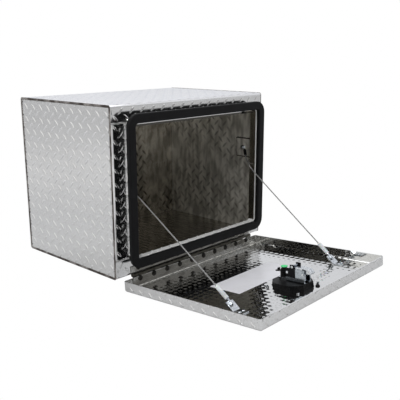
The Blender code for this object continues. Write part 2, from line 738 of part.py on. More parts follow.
def make_door_pan(finishes, door):
    """The door's folded pan: skin, four flanges, and every hole that its fittings need."""
    outside = BEND_INSIDE_RADIUS + SHEET
    quarter = [math.pi / 2 * index / BEND_STEPS for index in range(BEND_STEPS + 1)]
    rings = []
    for angle in quarter:
        inset = outside * (1 - math.sin(angle))
        rings.append(pan_ring(inset, DOOR_OUTER_Z + outside * (1 - math.cos(angle))))
    rings += [pan_ring(0, DOOR_RIM_Z), pan_ring(SHEET, DOOR_RIM_Z)]
    for angle in quarter[::-1]:
        inset = SHEET + BEND_INSIDE_RADIUS * (1 - math.sin(angle))
        rings.append(pan_ring(inset, DOOR_INNER_Z + BEND_INSIDE_RADIUS * (1 - math.cos(angle))))
    pan = add_piece("door_pan", skin(rings), finishes["tread"], door)
    low = DOOR_OUTER_Z - CUT_OVERRUN
    high = DOOR_INNER_Z + CUT_OVERRUN
    tools = [prism(octagon(DISH_CUTOUT_FIT, (0, -LATCH_REACH)), low, high, lambda x, y, z: Vector((x, y, z)))]
    for x in rivet_places():
        place = along_minus_y((x, -DOOR_REAR, -DOOR_RIVET_REACH))
        tools.append(cylinder(RIVET_HOLE_RADIUS, -CUT_OVERRUN, SHEET + CUT_OVERRUN, RIVET_STEPS, place))
    for x, y in stay_rivet_places():
        tools.append(cylinder(RIVET_HOLE_RADIUS, low, high, SCREW_STEPS, upright((x, y, 0))))
    for x, y in dish_screw_places():
        place = upright((x, y - LATCH_REACH, 0))
        tools.append(cylinder(DISH_SCREW_HOLE_RADIUS, low, high, SCREW_STEPS, place))
    cut(pan, merge_all(tools))


def make_door_bumper(finishes, door):
    """Rubber stop bonded to the door's inner skin above the latch."""
    base = DOOR_INNER_Z + SEAT_GAP
    profile = [(0, base), (BUMPER_RADIUS, base)]
    profile += dome(BUMPER_RADIUS, base + BUMPER_HEIGHT - BUMPER_RADIUS, BUMPER_RADIUS)
    body = turned(profile, RIVET_STEPS, upright((BUMPER_X, -BUMPER_REACH, 0)))
    add_piece("door_bumper", body, finishes["rubber"], door)


def stay_tab_line():
    """Places on the stay bracket's side view: the upper faces' bend and the tab's rounded end."""
    along = (-math.cos(STAY_TAB_ANGLE), math.sin(STAY_TAB_ANGLE))
    under_lug = LUG_THICKNESS / 2 + SEAT_GAP
    face = (
        STAY_EYE_REACH - under_lug * math.sin(STAY_TAB_ANGLE),
        STAY_EYE_RISE - under_lug * math.cos(STAY_TAB_ANGLE),
    )
    top = SEAT_GAP + STAY_BRACKET_SHEET
    bend_reach = face[0] + (face[1] - top) / math.tan(STAY_TAB_ANGLE)
    end = (face[0] + along[0] * STAY_TAB_END, face[1] + along[1] * STAY_TAB_END)
    return bend_reach, top, end


def stay_rivet_places():
    bend_reach = stay_tab_line()[0]
    reach = bend_reach + STAY_FOOT_LENGTH * STAY_RIVET_SHARE
    return [(side * STAY_EYE_X + step * STAY_RIVET_SPREAD, -reach) for side in (-1, 1) for step in (-1, 1)]


def frame_matrix(origin, along, normal):
    """A frame whose X runs along the lug, whose Z is the clamp bolt and whose Y is the width."""
    u = along.normalized()
    w = (normal - u * normal.dot(u)).normalized()
    v = w.cross(u)
    return Matrix.Translation(origin) @ Matrix((u, v, w)).transposed().to_4x4()


def door_matrix():
    return Matrix.Translation((0, PIN_Y, 0)) @ Matrix.Rotation(-DOOR_OPEN_TILT, 4, "X")


def route_point(side, index):
    inward, forward, down = CABLE_ROUTE[index]
    return Vector((side * (WALL_X - inward), ANCHOR_Y - forward, ANCHOR_HEIGHT - down))


def wall_terminal(side):
    """Frame of the upper lug on its wall stud, and the bend that points it at the route."""
    plate_face = WALL_X - SEAT_GAP - ANCHOR_PLATE
    origin = Vector((side * (plate_face - SEAT_GAP - LUG_THICKNESS / 2), ANCHOR_Y, ANCHOR_HEIGHT))
    target = route_point(side, 0) - origin
    normal = Vector((-side, 0, 0))
    flat = target - normal * target.dot(normal)
    bend = math.atan2(target.dot(normal), flat.length - LUG_NECK_REACH)
    return frame_matrix(origin, flat, normal), bend


def door_terminal(side):
    """Frame of the lower lug on its bracket's tab, in the door's own frame."""
    origin = Vector((side * STAY_EYE_X, -STAY_EYE_REACH, DOOR_INNER_Z + STAY_EYE_RISE))
    normal = Vector((0, -math.sin(STAY_TAB_ANGLE), math.cos(STAY_TAB_ANGLE)))
    target = door_matrix().inverted() @ route_point(side, -1) - origin
    return frame_matrix(origin, target - normal * target.dot(normal), normal), 0


def barrel_place(terminal):
    """The lug frame moved past its bend, with Z along the barrel."""
    matrix, bend = terminal
    return matrix @ Matrix.Translation((LUG_NECK_REACH, 0, 0)) @ Matrix.Rotation(math.pi / 2 - bend, 4, "Y")


def lug_body(bend):
    half = LUG_NECK_WIDTH / 2
    neck_end = LUG_BARREL_START + LUG_BARREL_LENGTH * LUG_EMBED_SHARE
    opening = math.asin(half / LUG_EYE_RADIUS)
    outline = arc((0, 0), LUG_EYE_RADIUS, opening, math.tau - 2 * opening, RIVET_STEPS)
    outline += [(neck_end, -half), (neck_end, half)]
    bm = prism(outline, -LUG_THICKNESS / 2, LUG_THICKNESS / 2, lambda u, v, w: Vector((u, v, w)))
    fold = Vector((LUG_NECK_REACH, 0, 0))
    everything = list(bm.verts) + list(bm.edges) + list(bm.faces)
    bmesh.ops.bisect_plane(bm, geom=everything, plane_co=fold, plane_no=(1, 0, 0), dist=MERGE_DISTANCE)
    folded = [vert for vert in bm.verts if vert.co.x > LUG_NECK_REACH + MERGE_DISTANCE]
    bmesh.ops.rotate(bm, verts=folded, cent=fold, matrix=Matrix.Rotation(-bend, 3, "Y"))
    return bm


def make_lug(name, terminal, finishes, parent):
    matrix, bend = terminal
    body = lug_body(bend)
    bmesh.ops.transform(body, matrix=matrix, verts=body.verts)
    lug = add_piece(name, body, finishes["zinc"], parent)
    start = LUG_BARREL_START - LUG_NECK_REACH
    end = start + LUG_BARREL_LENGTH
    join(lug, cylinder(LUG_BARREL_RADIUS, start, end, RIVET_STEPS, barrel_place(terminal)))
    reach = LUG_THICKNESS + CUT_OVERRUN
    cut(lug, cylinder(CLAMP_HOLE_RADIUS, -reach, reach, RIVET_STEPS, matrix))


def make_sleeve(name, terminal, start, length, radius, material, parent):
    """A moulded sleeve: wide bore over the lug's barrel, then close round the cable."""
    first = start - LUG_NECK_REACH
    last = first + length
    step = LUG_BARREL_START + LUG_BARREL_LENGTH - LUG_NECK_REACH + SEAT_GAP
    wide = LUG_BARREL_RADIUS + SLEEVE_FIT
    close = CABLE_RADIUS + SLEEVE_FIT
    profile = (
        (wide, first), (radius, first), (radius, last - SLEEVE_TAPER), (close + SLEEVE_MOUTH_WALL, last),
        (close, last), (close, step), (wide, step),
    )
    add_piece(name, turned(profile, RIVET_STEPS, barrel_place(terminal), closed=True), material, parent)


def smooth_line(points, start_direction, end_direction, step):
    """Points at even steps on one smooth curve through the given points."""
    line = []
    for index in range(len(points) - 1):
        near, far = points[index], points[index + 1]
        span = (far - near).length
        if index:
            chord = (far - points[index - 1]).normalized() * span
        else:
            chord = start_direction * span
        if index + 2 < len(points):
            leave = (points[index + 2] - near).normalized() * span
        else:
            leave = end_direction * span
        count = max(1, round(span / step))
        for part in range(count):
            t = part / count
            line.append(
                near * (2 * t**3 - 3 * t**2 + 1) + chord * (t**3 - 2 * t**2 + t)
                + far * (3 * t**2 - 2 * t**3) + leave * (t**3 - t**2)
            )
    return line + [points[-1]]


def cable_line(side):
    """The cable's whole route, from the upper lug's barrel to the lower one's."""
    upper = barrel_place(wall_terminal(side))
    lower = door_matrix() @ barrel_place(door_terminal(side))
    end = LUG_BARREL_START + LUG_BARREL_LENGTH - LUG_NECK_REACH + SEAT_GAP
    upper_mouth = UPPER_SLEEVE_START + UPPER_SLEEVE_LENGTH - LUG_NECK_REACH
    lower_mouth = LOWER_SLEEVE_START + LOWER_SLEEVE_LENGTH - LUG_NECK_REACH
    middle = [route_point(side, index) for index in range(len(CABLE_ROUTE))]
    points = [upper @ Vector((0, 0, upper_mouth))] + middle + [lower @ Vector((0, 0, lower_mouth))]
    leaving = (upper.to_3x3() @ Vector((0, 0, 1))).normalized()
    arriving = -(lower.to_3x3() @ Vector((0, 0, 1))).normalized()
    line = smooth_line(points, leaving, arriving, CABLE_SAMPLE_STEP)
    return [upper @ Vector((0, 0, end))] + line + [lower @ Vector((0, 0, end))]


def tube(name, line, radius, material, resolution, parent=None, location=(0, 0, 0)):
    """A round tube with filled ends along a line of points."""
    curve = bpy.data.curves.new(name, "CURVE")
    curve.dimensions = "3D"
    spline = curve.splines.new("POLY")
    spline.points.add(len(line) - 1)
    for point, place in zip(spline.points, line):
        point.co = (*place, 1)
    curve.bevel_depth = radius
    curve.bevel_resolution = resolution
    curve.use_fill_caps = True
    curve.materials.append(material)
    piece = bpy.data.objects.new(name, curve)
    bpy.context.collection.objects.link(piece)
    piece.parent = parent
    piece.location = location
    return piece


def make_stays(finishes, door):
    """Both stay cables with their wall anchors, lugs, sleeves, door brackets and clamps."""
    bend_reach, top, tab_end = stay_tab_line()
    foot_end = (bend_reach + STAY_FOOT_LENGTH, top)
    outline = bent_sheet((foot_end, (bend_reach, top), tab_end), STAY_BRACKET_SHEET, STAY_BEND_RADIUS)
    for side_name, side in (("left", -1), ("right", 1)):
        upper = wall_terminal(side)
        lower = door_terminal(side)
        half_plate = ANCHOR_PLATE_SIZE / 2
        plate = rounded_rectangle(half_plate, half_plate, ANCHOR_CORNER_RADIUS, BEND_STEPS)
        wall_face = WALL_X - SEAT_GAP
        body = prism(
            [(ANCHOR_Y + y, ANCHOR_HEIGHT + z) for y, z in plate], wall_face - ANCHOR_PLATE, wall_face,
            lambda y, z, x: Vector((side * x, y, z)),
        )
        anchor = add_piece(side_name + "_cable_anchor", body, finishes["zinc"])
        stud_end = CLAMP_NUT_HEIGHT + LUG_THICKNESS / 2 + SEAT_GAP + CLAMP_THREAD_END
        stud_root = LUG_THICKNESS / 2 + SEAT_GAP + ANCHOR_PLATE / 2
        join(anchor, cylinder(CLAMP_BOLT_RADIUS, -stud_root, stud_end, RIVET_STEPS, upper[0]))
        clamp_face = LUG_THICKNESS / 2 + SEAT_GAP
        nut_bore = CLAMP_BOLT_RADIUS + SEAT_GAP
        anchor_nut = nut(CLAMP_NUT_RADIUS, nut_bore, clamp_face, clamp_face + CLAMP_NUT_HEIGHT, upper[0])
        add_piece(side_name + "_anchor_nut", anchor_nut, finishes["zinc"])
        make_lug(side_name + "_upper_lug", upper, finishes, None)
        make_lug(side_name + "_lower_lug", lower, finishes, door)
        make_sleeve(
            side_name + "_upper_sleeve", upper, UPPER_SLEEVE_START, UPPER_SLEEVE_LENGTH,
            UPPER_SLEEVE_RADIUS, finishes["rubber"], None,
        )
        make_sleeve(
            side_name + "_lower_sleeve", lower, LOWER_SLEEVE_START, LOWER_SLEEVE_LENGTH,
            LOWER_SLEEVE_RADIUS, finishes["sleeve"], door,
        )
        tube(side_name + "_stay_cable", cable_line(side), CABLE_RADIUS, finishes["cable"], 2)

        half = STAY_BRACKET_WIDTH / 2
        middle = side * STAY_EYE_X
        bracket = add_piece(side_name + "_stay_bracket", prism(
            outline, middle - half, middle + half, lambda s, h, x: Vector((x, -s, DOOR_INNER_Z + h)),
        ), finishes["zinc"], door)
        foot_top = DOOR_INNER_Z + top
        grip = foot_top - DOOR_OUTER_Z + SEAT_GAP
        rivets = [
            rivet(LOW_RIVET_HEAD, grip, STAY_BRACKET_SHEET / 2, upright((x, y, foot_top)), SCREW_STEPS)
            for x, y in stay_rivet_places() if x * side > 0
        ]
        join(bracket, merge_all(rivets))
        cut(bracket, cylinder(CLAMP_HOLE_RADIUS, -CLAMP_REACH, CLAMP_REACH, RIVET_STEPS, lower[0]))
        under_tab = clamp_face + STAY_BRACKET_SHEET + SEAT_GAP
        bolt_end = under_tab + CLAMP_NUT_HEIGHT + CLAMP_THREAD_END
        bolt = clamp_bolt(clamp_face, -bolt_end, lower[0])
        add_piece(side_name + "_stay_bolt", bolt, finishes["zinc"], door)
        stay_nut = nut(CLAMP_NUT_RADIUS, nut_bore, -under_tab - CLAMP_NUT_HEIGHT, -under_tab, lower[0])
        add_piece(side_name + "_stay_nut", stay_nut, finishes["zinc"], door)


def clamp_bolt(head_start, end, place):
    """A bolt with a six-sided head on a round shank."""
    shank = [CLAMP_BOLT_RADIUS] * 2
    hexagon = [CLAMP_NUT_RADIUS, CLAMP_NUT_RADIUS * math.cos(math.pi / 6)]
    bm = skin([
        nut_ring(shank, end), nut_ring(shank, head_start),
        nut_ring(hexagon, head_start), nut_ring(hexagon, head_start + CLAMP_HEAD_HEIGHT),
    ])
    bmesh.ops.transform(bm, matrix=place, verts=bm.verts)
    return bm


def dish_screw_places():
    sides = (-DISH_SCREW_SPREAD, DISH_SCREW_SPREAD)
    return [(x, y) for x in sides for y in sides]


def level(outline, z):
    return [Vector((x, y, z)) for x, y in outline]


def make_latch_dish(finishes, latch):
    """Black octagonal tub let into the door, with its flange, hinge ears and openings."""
    flange_top = -SHEET - SEAT_GAP - GASKET - SEAT_GAP
    flange_face = flange_top - DISH_FLANGE
    flange = clipped_square(DISH_FLANGE_HALF_WIDTH, DISH_FLANGE_CORNER_CUT)
    floor = DISH_HEIGHT - DISH_WALL
    dish = add_piece("latch_dish", skin([
        level(octagon(-DISH_WALL - DISH_DRAFT), floor), level(octagon(-DISH_WALL), flange_face),
        level(flange, flange_face), level(flange, flange_top),
        level(octagon(0), flange_top), level(octagon(-DISH_DRAFT), DISH_HEIGHT),
    ]), finishes["black"], latch)
    ears = []
    for side in (-1, 1):
        edges = sorted((side * PADDLE_EAR_INNER, side * (PADDLE_EAR_INNER + PADDLE_EAR)))
        ears.append(block(
            (
                edges[0], -PADDLE_PIVOT_REACH - PADDLE_EAR_HALF_LENGTH,
                PADDLE_PIVOT_RISE - PADDLE_EAR_HALF_LENGTH,
            ),
            (edges[1], -PADDLE_PIVOT_REACH + PADDLE_EAR_HALF_LENGTH, floor + DISH_WALL / 2),
        ))
    join(dish, merge_all(ears))
    slot_half = PADDLE_TAIL_HALF_WIDTH + TAIL_SLOT_FIT
    over = DISH_WALL + CUT_OVERRUN
    tools = [block(
        (-slot_half, -PADDLE_PIVOT_REACH - TAIL_SLOT_FRONT, floor - CUT_OVERRUN),
        (slot_half, -PADDLE_PIVOT_REACH + TAIL_SLOT_BACK, DISH_HEIGHT + CUT_OVERRUN),
    )]
    lock_place = upright((LOCK_SIDE, LOCK_REACH, floor))
    tools.append(cylinder(LOCK_RADIUS + LOCK_HOLE_FIT, -over, over, ROUND_STEPS, lock_place))
    for x, y in dish_screw_places():
        hole = upright((x, y, 0))
        tools.append(cylinder(DISH_SCREW_HOLE_RADIUS, flange_face - over, over, SCREW_STEPS, hole))
    for y in bracket_rivet_reaches():
        tools.append(cylinder(RIVET_HOLE_RADIUS, -over, over, SCREW_STEPS, upright((0, y, floor))))
    pin_hole = PADDLE_PIN_RADIUS + PADDLE_PIN_CLEARANCE
    ear_reach = PADDLE_EAR_INNER + PADDLE_EAR + PADDLE_PIN_END + SEAT_GAP
    pin_place = along_x((0, -PADDLE_PIVOT_REACH, PADDLE_PIVOT_RISE))
    tools.append(cylinder(pin_hole, -ear_reach, ear_reach, ROUND_STEPS, pin_place))
    cut(dish, merge_all(tools))

    gasket_half = DISH_FLANGE_HALF_WIDTH - GASKET_INSET
    rim = clipped_square(gasket_half, DISH_FLANGE_CORNER_CUT)
    hole = octagon(DISH_CUTOUT_FIT)
    low, high = -SHEET - SEAT_GAP - GASKET, -SHEET - SEAT_GAP
    gasket = add_piece("latch_gasket", skin([
        level(hole, low), level(rim, low), level(rim, high), level(hole, high),
    ], wrap_rings=True), finishes["rubber"], latch)
    holes = [
        cylinder(DISH_SCREW_HOLE_RADIUS, low - over, high + over, SCREW_STEPS, upright((x, y, 0)))
        for x, y in dish_screw_places()
    ]
    cut(gasket, merge_all(holes))
    head_face = flange_face - SEAT_GAP
    for number, (x, y) in enumerate(dish_screw_places(), 1):
        tip = SEAT_GAP + DISH_NUT_HEIGHT + DISH_SCREW_END
        profile = dome(DISH_SCREW_HEAD_RADIUS, 0, DISH_SCREW_HEAD_HEIGHT, LOW_DOME_STEPS)
        profile = [(radius, head_face - height) for radius, height in profile][::-1]
        profile += [(DISH_SCREW_RADIUS, head_face), (DISH_SCREW_RADIUS, tip), (0, tip)]
        screw = turned(profile, SCREW_STEPS, upright((x, y, 0)))
        add_piece("dish_screw_%d" % number, screw, finishes["zinc"], latch)
        nut_bore = DISH_SCREW_RADIUS + SEAT_GAP
        ring = nut(DISH_NUT_RADIUS, nut_bore, SEAT_GAP, SEAT_GAP + DISH_NUT_HEIGHT, upright((x, y, 0)))
        add_piece("dish_nut_%d" % number, ring, finishes["zinc"], latch)


def make_paddle(finishes, latch, pivot):
    """Outside paddle: a plate with a finger lip, its hinge barrel, and the tail that draws the bolt."""
    outline = bent_sheet((
        (-PADDLE_NEAR_REACH, -PADDLE_FACE_DROP), (PADDLE_FREE_REACH, -PADDLE_FACE_DROP),
        (PADDLE_FREE_REACH, -PADDLE_FACE_DROP + PADDLE_PLATE + PADDLE_GRIP_RISE),
    ), PADDLE_PLATE, BRACKET_BEND_RADIUS)
    body = prism(outline, -PADDLE_HALF_WIDTH, PADDLE_HALF_WIDTH, lambda y, z, x: Vector((x, y, z)))
    paddle = add_piece("latch_paddle", body, finishes["black"], pivot)
    wide = PADDLE_HALF_WIDTH + CUT_OVERRUN
    near = -PADDLE_NEAR_REACH - CUT_OVERRUN
    far = PADDLE_FREE_REACH + CUT_OVERRUN
    near_half = PADDLE_HALF_WIDTH - PADDLE_NEAR_CLIP - CUT_OVERRUN
    far_half = PADDLE_HALF_WIDTH - PADDLE_FAR_CLIP - CUT_OVERRUN
    plan = (
        (-near_half, near), (near_half, near), (wide, near + wide - near_half), (wide, far - wide + far_half),
        (far_half, far), (-far_half, far), (-wide, far - wide + far_half), (-wide, near + wide - near_half),
    )
    low = -PADDLE_FACE_DROP - CUT_OVERRUN
    top = -PADDLE_FACE_DROP + PADDLE_PLATE + PADDLE_GRIP_RISE + CUT_OVERRUN
    keeper = prism(plan, low, top, lambda x, y, z: Vector((x, y, z)))
    combine(paddle, keeper, "INTERSECT")
    barrel_half = PADDLE_EAR_INNER - PADDLE_NOTCH_FIT
    neck_half = barrel_half - PADDLE_NOTCH_FIT
    thick = PADDLE_TAIL_THICKNESS / 2
    join(paddle, block((-neck_half, -thick, -PADDLE_FACE_DROP + PADDLE_PLATE / 2), (neck_half, thick, 0)))
    join(paddle, cylinder(PADDLE_BARREL_RADIUS, -barrel_half, barrel_half, ROUND_STEPS, along_x()))
    tail_low = (-PADDLE_TAIL_HALF_WIDTH, -thick, PADDLE_PIN_RADIUS)
    tail_high = (PADDLE_TAIL_HALF_WIDTH, thick, PADDLE_TAIL_LENGTH)
    join(paddle, block(tail_low, tail_high))
    reach = PADDLE_EAR_INNER + PADDLE_EAR + PADDLE_PIN_END
    cut(paddle, cylinder(PADDLE_PIN_RADIUS + PADDLE_PIN_CLEARANCE, -reach, reach, ROUND_STEPS, along_x()))
    pin_place = along_x((0, -PADDLE_PIVOT_REACH, PADDLE_PIVOT_RISE))
    pin = cylinder(PADDLE_PIN_RADIUS, -reach, reach, ROUND_STEPS, pin_place)
    add_piece("paddle_pin", pin, finishes["zinc"], latch)


def bracket_rivet_reaches():
    """Local Y of the two rivets that hold the bracket on the dish."""
    rear = -SPRING_TAB_REACH / 2 + BRACKET_REAR_REACH / 2
    front = -(SPRING_TAB_REACH + BRACKET_SLOT_START) / 2 - BRACKET_SHEET / 2
    return (rear, front)


def make_latch_bracket(finishes, latch):
    """Zinc channel over the dish that guides the slam bolt, with ears for the upper pin."""
    base = DISH_HEIGHT + SEAT_GAP
    side = BRACKET_HALF_GAP + BRACKET_SHEET
    ear_top = base + BRACKET_EAR_HEIGHT
    corners = ((-side, ear_top), (-side, base), (side, base), (side, ear_top))
    outline = bent_sheet(corners, BRACKET_SHEET, BRACKET_BEND_RADIUS)
    body = prism(outline, -BRACKET_FRONT_REACH, BRACKET_REAR_REACH, lambda x, z, y: Vector((x, y, z)))
    bracket = add_piece("latch_bracket", body, finishes["zinc"], latch)
    tab_half = BRACKET_HALF_GAP - BRACKET_BEND_RADIUS - BRACKET_SHEET
    join(bracket, block(
        (-tab_half, -SPRING_TAB_REACH, base + BRACKET_SHEET / 2),
        (tab_half, -SPRING_TAB_REACH + BRACKET_SHEET, BOLT_SPRING_RISE + BOLT_SPRING_RADIUS),
    ))
    top = base + BRACKET_SHEET
    grip = top - (DISH_HEIGHT - DISH_WALL) + SEAT_GAP
    rivets = [
        rivet(LOW_RIVET_HEAD, grip, BRACKET_SHEET / 2, upright((0, y, top)), SCREW_STEPS)
        for y in bracket_rivet_reaches()
    ]
    join(bracket, merge_all(rivets))
    over = side + CUT_OVERRUN
    shoulder = base + BRACKET_HEIGHT
    slot_over = BRACKET_SHEET + CUT_OVERRUN
    tools = [
        block(
            (-over, -BRACKET_FRONT_REACH - CUT_OVERRUN, shoulder),
            (over, -BRACKET_EAR_CENTRE - BRACKET_EAR_HALF_LENGTH, ear_top + CUT_OVERRUN),
        ),
        block(
            (-over, -BRACKET_EAR_CENTRE + BRACKET_EAR_HALF_LENGTH, shoulder),
            (over, BRACKET_REAR_REACH + CUT_OVERRUN, ear_top + CUT_OVERRUN),
        ),
        block(
            (-BRACKET_SLOT_HALF_WIDTH, -BRACKET_FRONT_REACH - CUT_OVERRUN, base - slot_over),
            (BRACKET_SLOT_HALF_WIDTH, -BRACKET_SLOT_START, base + slot_over),
        ),
    ]
    for name, reach, rise in guide_pin_places():
        hole = along_x((0, -reach, rise))
        tools.append(cylinder(GUIDE_PIN_RADIUS + RIVET_HOLE_CLEARANCE, -over, over, SCREW_STEPS, hole))
    cut(bracket, merge_all(tools))
    shank_end = side + SEAT_GAP
    for name, reach, rise in guide_pin_places():
        far = shank_end + GUIDE_PIN_HEAD_HEIGHT
        profile = [(0, -far), (GUIDE_PIN_HEAD_RADIUS, -far), (GUIDE_PIN_HEAD_RADIUS, -shank_end)]
        profile += [(GUIDE_PIN_RADIUS, -shank_end), (GUIDE_PIN_RADIUS, shank_end)]
        profile += [(GUIDE_PIN_HEAD_RADIUS, shank_end), (GUIDE_PIN_HEAD_RADIUS, far)]
        profile.append((0, far))
        add_piece(name, turned(profile, SCREW_STEPS, along_x((0, -reach, rise))), finishes["zinc"], latch)


def guide_pin_places():
    """Name, reach and rise of the two pins that carry the bolt and the one that keeps it down."""
    under = BOLT_RISE - GUIDE_PIN_FIT - GUIDE_PIN_RADIUS
    above = BOLT_RISE + BOLT_THICKNESS + GUIDE_PIN_FIT + GUIDE_PIN_RADIUS
    return (
        ("rear_guide_pin", -GUIDE_REAR_REACH, under),
        ("front_guide_pin", GUIDE_FRONT_REACH, under),
        ("upper_guide_pin", BRACKET_EAR_CENTRE, above),
    )


def make_slam_bolt(finishes, latch):
    """Sliding bolt with a bevelled nose, and the lug below it that the paddle's tail pushes."""
    half = BRACKET_HALF_GAP - BOLT_SIDE_FIT
    nose = BOLT_NOSE_HALF_WIDTH
    plan = (
        (-half, BOLT_BODY_REAR), (-half, -BOLT_BODY_FRONT),
        (-nose, -BOLT_BODY_FRONT), (-nose, -BOLT_NOSE_REACH),
        (nose, -BOLT_NOSE_REACH), (nose, -BOLT_BODY_FRONT), (half, -BOLT_BODY_FRONT), (half, BOLT_BODY_REAR),
    )
    top = BOLT_RISE + BOLT_THICKNESS
    body = prism(plan, BOLT_RISE, top, lambda x, y, z: Vector((x, y, z)))
    bolt = add_piece("slam_bolt", body, finishes["zinc"], latch)
    beyond = CUT_OVERRUN
    wedge = (
        (-BOLT_NOSE_REACH + BOLT_NOSE_BEVEL + beyond, top + beyond),
        (-BOLT_NOSE_REACH - beyond, top - BOLT_NOSE_BEVEL - beyond),
        (-BOLT_NOSE_REACH - beyond, top + beyond),
    )
    width = half + beyond
    cut(bolt, prism(wedge, -width, width, lambda y, z, x: Vector((x, y, z))))
    lug_front = PADDLE_PIVOT_REACH - PADDLE_TAIL_THICKNESS / 2 - TAIL_TO_LUG_GAP
    join(bolt, block(
        (-BOLT_LUG_HALF_WIDTH, -lug_front, BOLT_RISE - BOLT_LUG_DROP),
        (BOLT_LUG_HALF_WIDTH, -lug_front + BOLT_LUG_LENGTH, BOLT_RISE + BOLT_THICKNESS / 2),
    ))
    start = -lug_front + BOLT_LUG_LENGTH + BOLT_SPRING_FIT + BOLT_SPRING_WIRE
    end = -SPRING_TAB_REACH - BOLT_SPRING_FIT - BOLT_SPRING_WIRE
    coil = BOLT_SPRING_RADIUS - BOLT_SPRING_WIRE
    count = BOLT_SPRING_TURNS * BOLT_SPRING_POINTS
    line = []
    for index in range(count + 1):
        angle = math.tau * index / BOLT_SPRING_POINTS
        along = start + (end - start) * index / count
        line.append(Vector((coil * math.cos(angle), along, coil * math.sin(angle))))
    pitch = (end - start) / BOLT_SPRING_TURNS
    print("bolt spring: least gap between turns %.2f mm" % ((pitch - 2 * BOLT_SPRING_WIRE) * MILLIMETRES))
    tube("bolt_spring", line, BOLT_SPRING_WIRE, finishes["zinc"], 1, latch, (0, 0, BOLT_SPRING_RISE))


def make_key_lock(finishes, latch, lock):
    """Lock cylinder through the dish, its nut, and the turning plug with cam, nut and green cap."""
    rim_face = DISH_HEIGHT - DISH_WALL - SEAT_GAP - LOCK_FACE_RIM
    neck_hole = LOCK_PLUG_NECK_RADIUS + LOCK_PLUG_CLEARANCE
    shelf = LOCK_TOP - LOCK_END_WALL
    body = turned((
        (LOCK_BORE_RADIUS, rim_face), (LOCK_FACE_RIM_RADIUS, rim_face),
        (LOCK_FACE_RIM_RADIUS, rim_face + LOCK_FACE_RIM),
        (LOCK_RADIUS, rim_face + LOCK_FACE_RIM), (LOCK_RADIUS, LOCK_TOP), (neck_hole, LOCK_TOP),
        (neck_hole, shelf), (LOCK_BORE_RADIUS, shelf),
    ), ROUND_STEPS, closed=True)
    add_piece("lock_cylinder", body, finishes["black"], latch, (LOCK_SIDE, LOCK_REACH, 0))
    nut_start = DISH_HEIGHT + SEAT_GAP
    lock_place = upright((LOCK_SIDE, LOCK_REACH, 0))
    ring = nut(LOCK_NUT_RADIUS, LOCK_RADIUS + SEAT_GAP, nut_start, nut_start + LOCK_NUT_HEIGHT, lock_place)
    add_piece("lock_nut", ring, finishes["zinc"], latch)

    plug_radius = LOCK_BORE_RADIUS - LOCK_PLUG_CLEARANCE
    face = rim_face + LOCK_PLUG_FACE_INSET
    cam_low = LOCK_TOP + LOCK_CAM_GAP
    nut_low = cam_low + LOCK_CAM + SEAT_GAP
    cap_low = nut_low + CAM_NUT_HEIGHT + SEAT_GAP
    plug_top = cap_low + LOCK_CAP_HEIGHT - LOCK_CAP_WALL - SEAT_GAP
    plug = add_piece("lock_plug", turned((
        (0, face), (plug_radius, face), (plug_radius, shelf - SEAT_GAP),
        (LOCK_PLUG_NECK_RADIUS, shelf - SEAT_GAP),
        (LOCK_PLUG_NECK_RADIUS, plug_top), (0, plug_top),
    ), ROUND_STEPS), finishes["zinc"], lock)
    keyway = block(
        (-KEYWAY_WIDTH / 2, -KEYWAY_HEIGHT / 2, face - CUT_OVERRUN),
        (KEYWAY_WIDTH / 2, KEYWAY_HEIGHT / 2, face + KEYWAY_DEPTH),
    )
    cut(plug, keyway)
    eye = arc((0, 0), LOCK_CAM_EYE_RADIUS, math.pi / 2, math.pi, CORNER_STEPS)
    tip_centre = (LOCK_CAM_LENGTH - LOCK_CAM_HALF_WIDTH, 0)
    tip = arc(tip_centre, LOCK_CAM_HALF_WIDTH, -math.pi / 2, math.pi, CORNER_STEPS)
    turn = Matrix.Rotation(LOCK_CAM_ANGLE, 4, "Z")
    lever = prism(eye + tip, cam_low, cam_low + LOCK_CAM, lambda u, v, z: turn @ Vector((u, v, z)))
    cam = add_piece("lock_cam", lever, finishes["black"], lock)
    cut(cam, cylinder(neck_hole, cam_low - CUT_OVERRUN, cam_low + CUT_OVERRUN, ROUND_STEPS))
    cam_nut = nut(CAM_NUT_RADIUS, neck_hole, nut_low, nut_low + CAM_NUT_HEIGHT, upright())
    add_piece("cam_nut", cam_nut, finishes["black"], lock)
    rounding = LOCK_CAP_WALL
    cap = turned([
        (neck_hole, cap_low), (LOCK_CAP_RADIUS, cap_low),
        (LOCK_CAP_RADIUS, cap_low + LOCK_CAP_HEIGHT - rounding),
        (LOCK_CAP_RADIUS - rounding, cap_low + LOCK_CAP_HEIGHT), (0, cap_low + LOCK_CAP_HEIGHT),
        (0, plug_top + SEAT_GAP), (neck_hole, plug_top + SEAT_GAP),
    ], ROUND_STEPS, closed=True)
    add_piece("lock_cap", cap, finishes["green"], lock)


def main():
    clear_scene()
    finishes = make_finishes()
    door = frame_empty("door_pivot", (0, PIN_Y, 0), tilt=-DOOR_OPEN_TILT)
    latch = frame_empty("latch_seat", (0, -LATCH_REACH, DOOR_INNER_Z), door)
    pivot = frame_empty("paddle_pivot", (0, -PADDLE_PIVOT_REACH, PADDLE_PIVOT_RISE), latch)
    lock = frame_empty("lock_pivot", (LOCK_SIDE, LOCK_REACH, 0), latch)
    make_body_wrapper(finishes)
    make_end_panels(finishes)
    make_corner_welds(finishes)
    make_opening_lip(finishes)
    make_door_seal(finishes)
    make_door_pan(finishes, door)
    make_hinge(finishes, door)
    make_door_bumper(finishes, door)
    make_stays(finishes, door)
    make_latch_dish(finishes, latch)
    make_paddle(finishes, latch, pivot)
    make_latch_bracket(finishes, latch)
    make_slam_bolt(finishes, latch)
    make_key_lock(finishes, latch, lock)


main()
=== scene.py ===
"""Underbody truck tool box: finishes, tread bars, rivets and small fittings round the CAD frame."""

import json
import math
import random

import bmesh
import bpy
from mathutils import Matrix, Vector


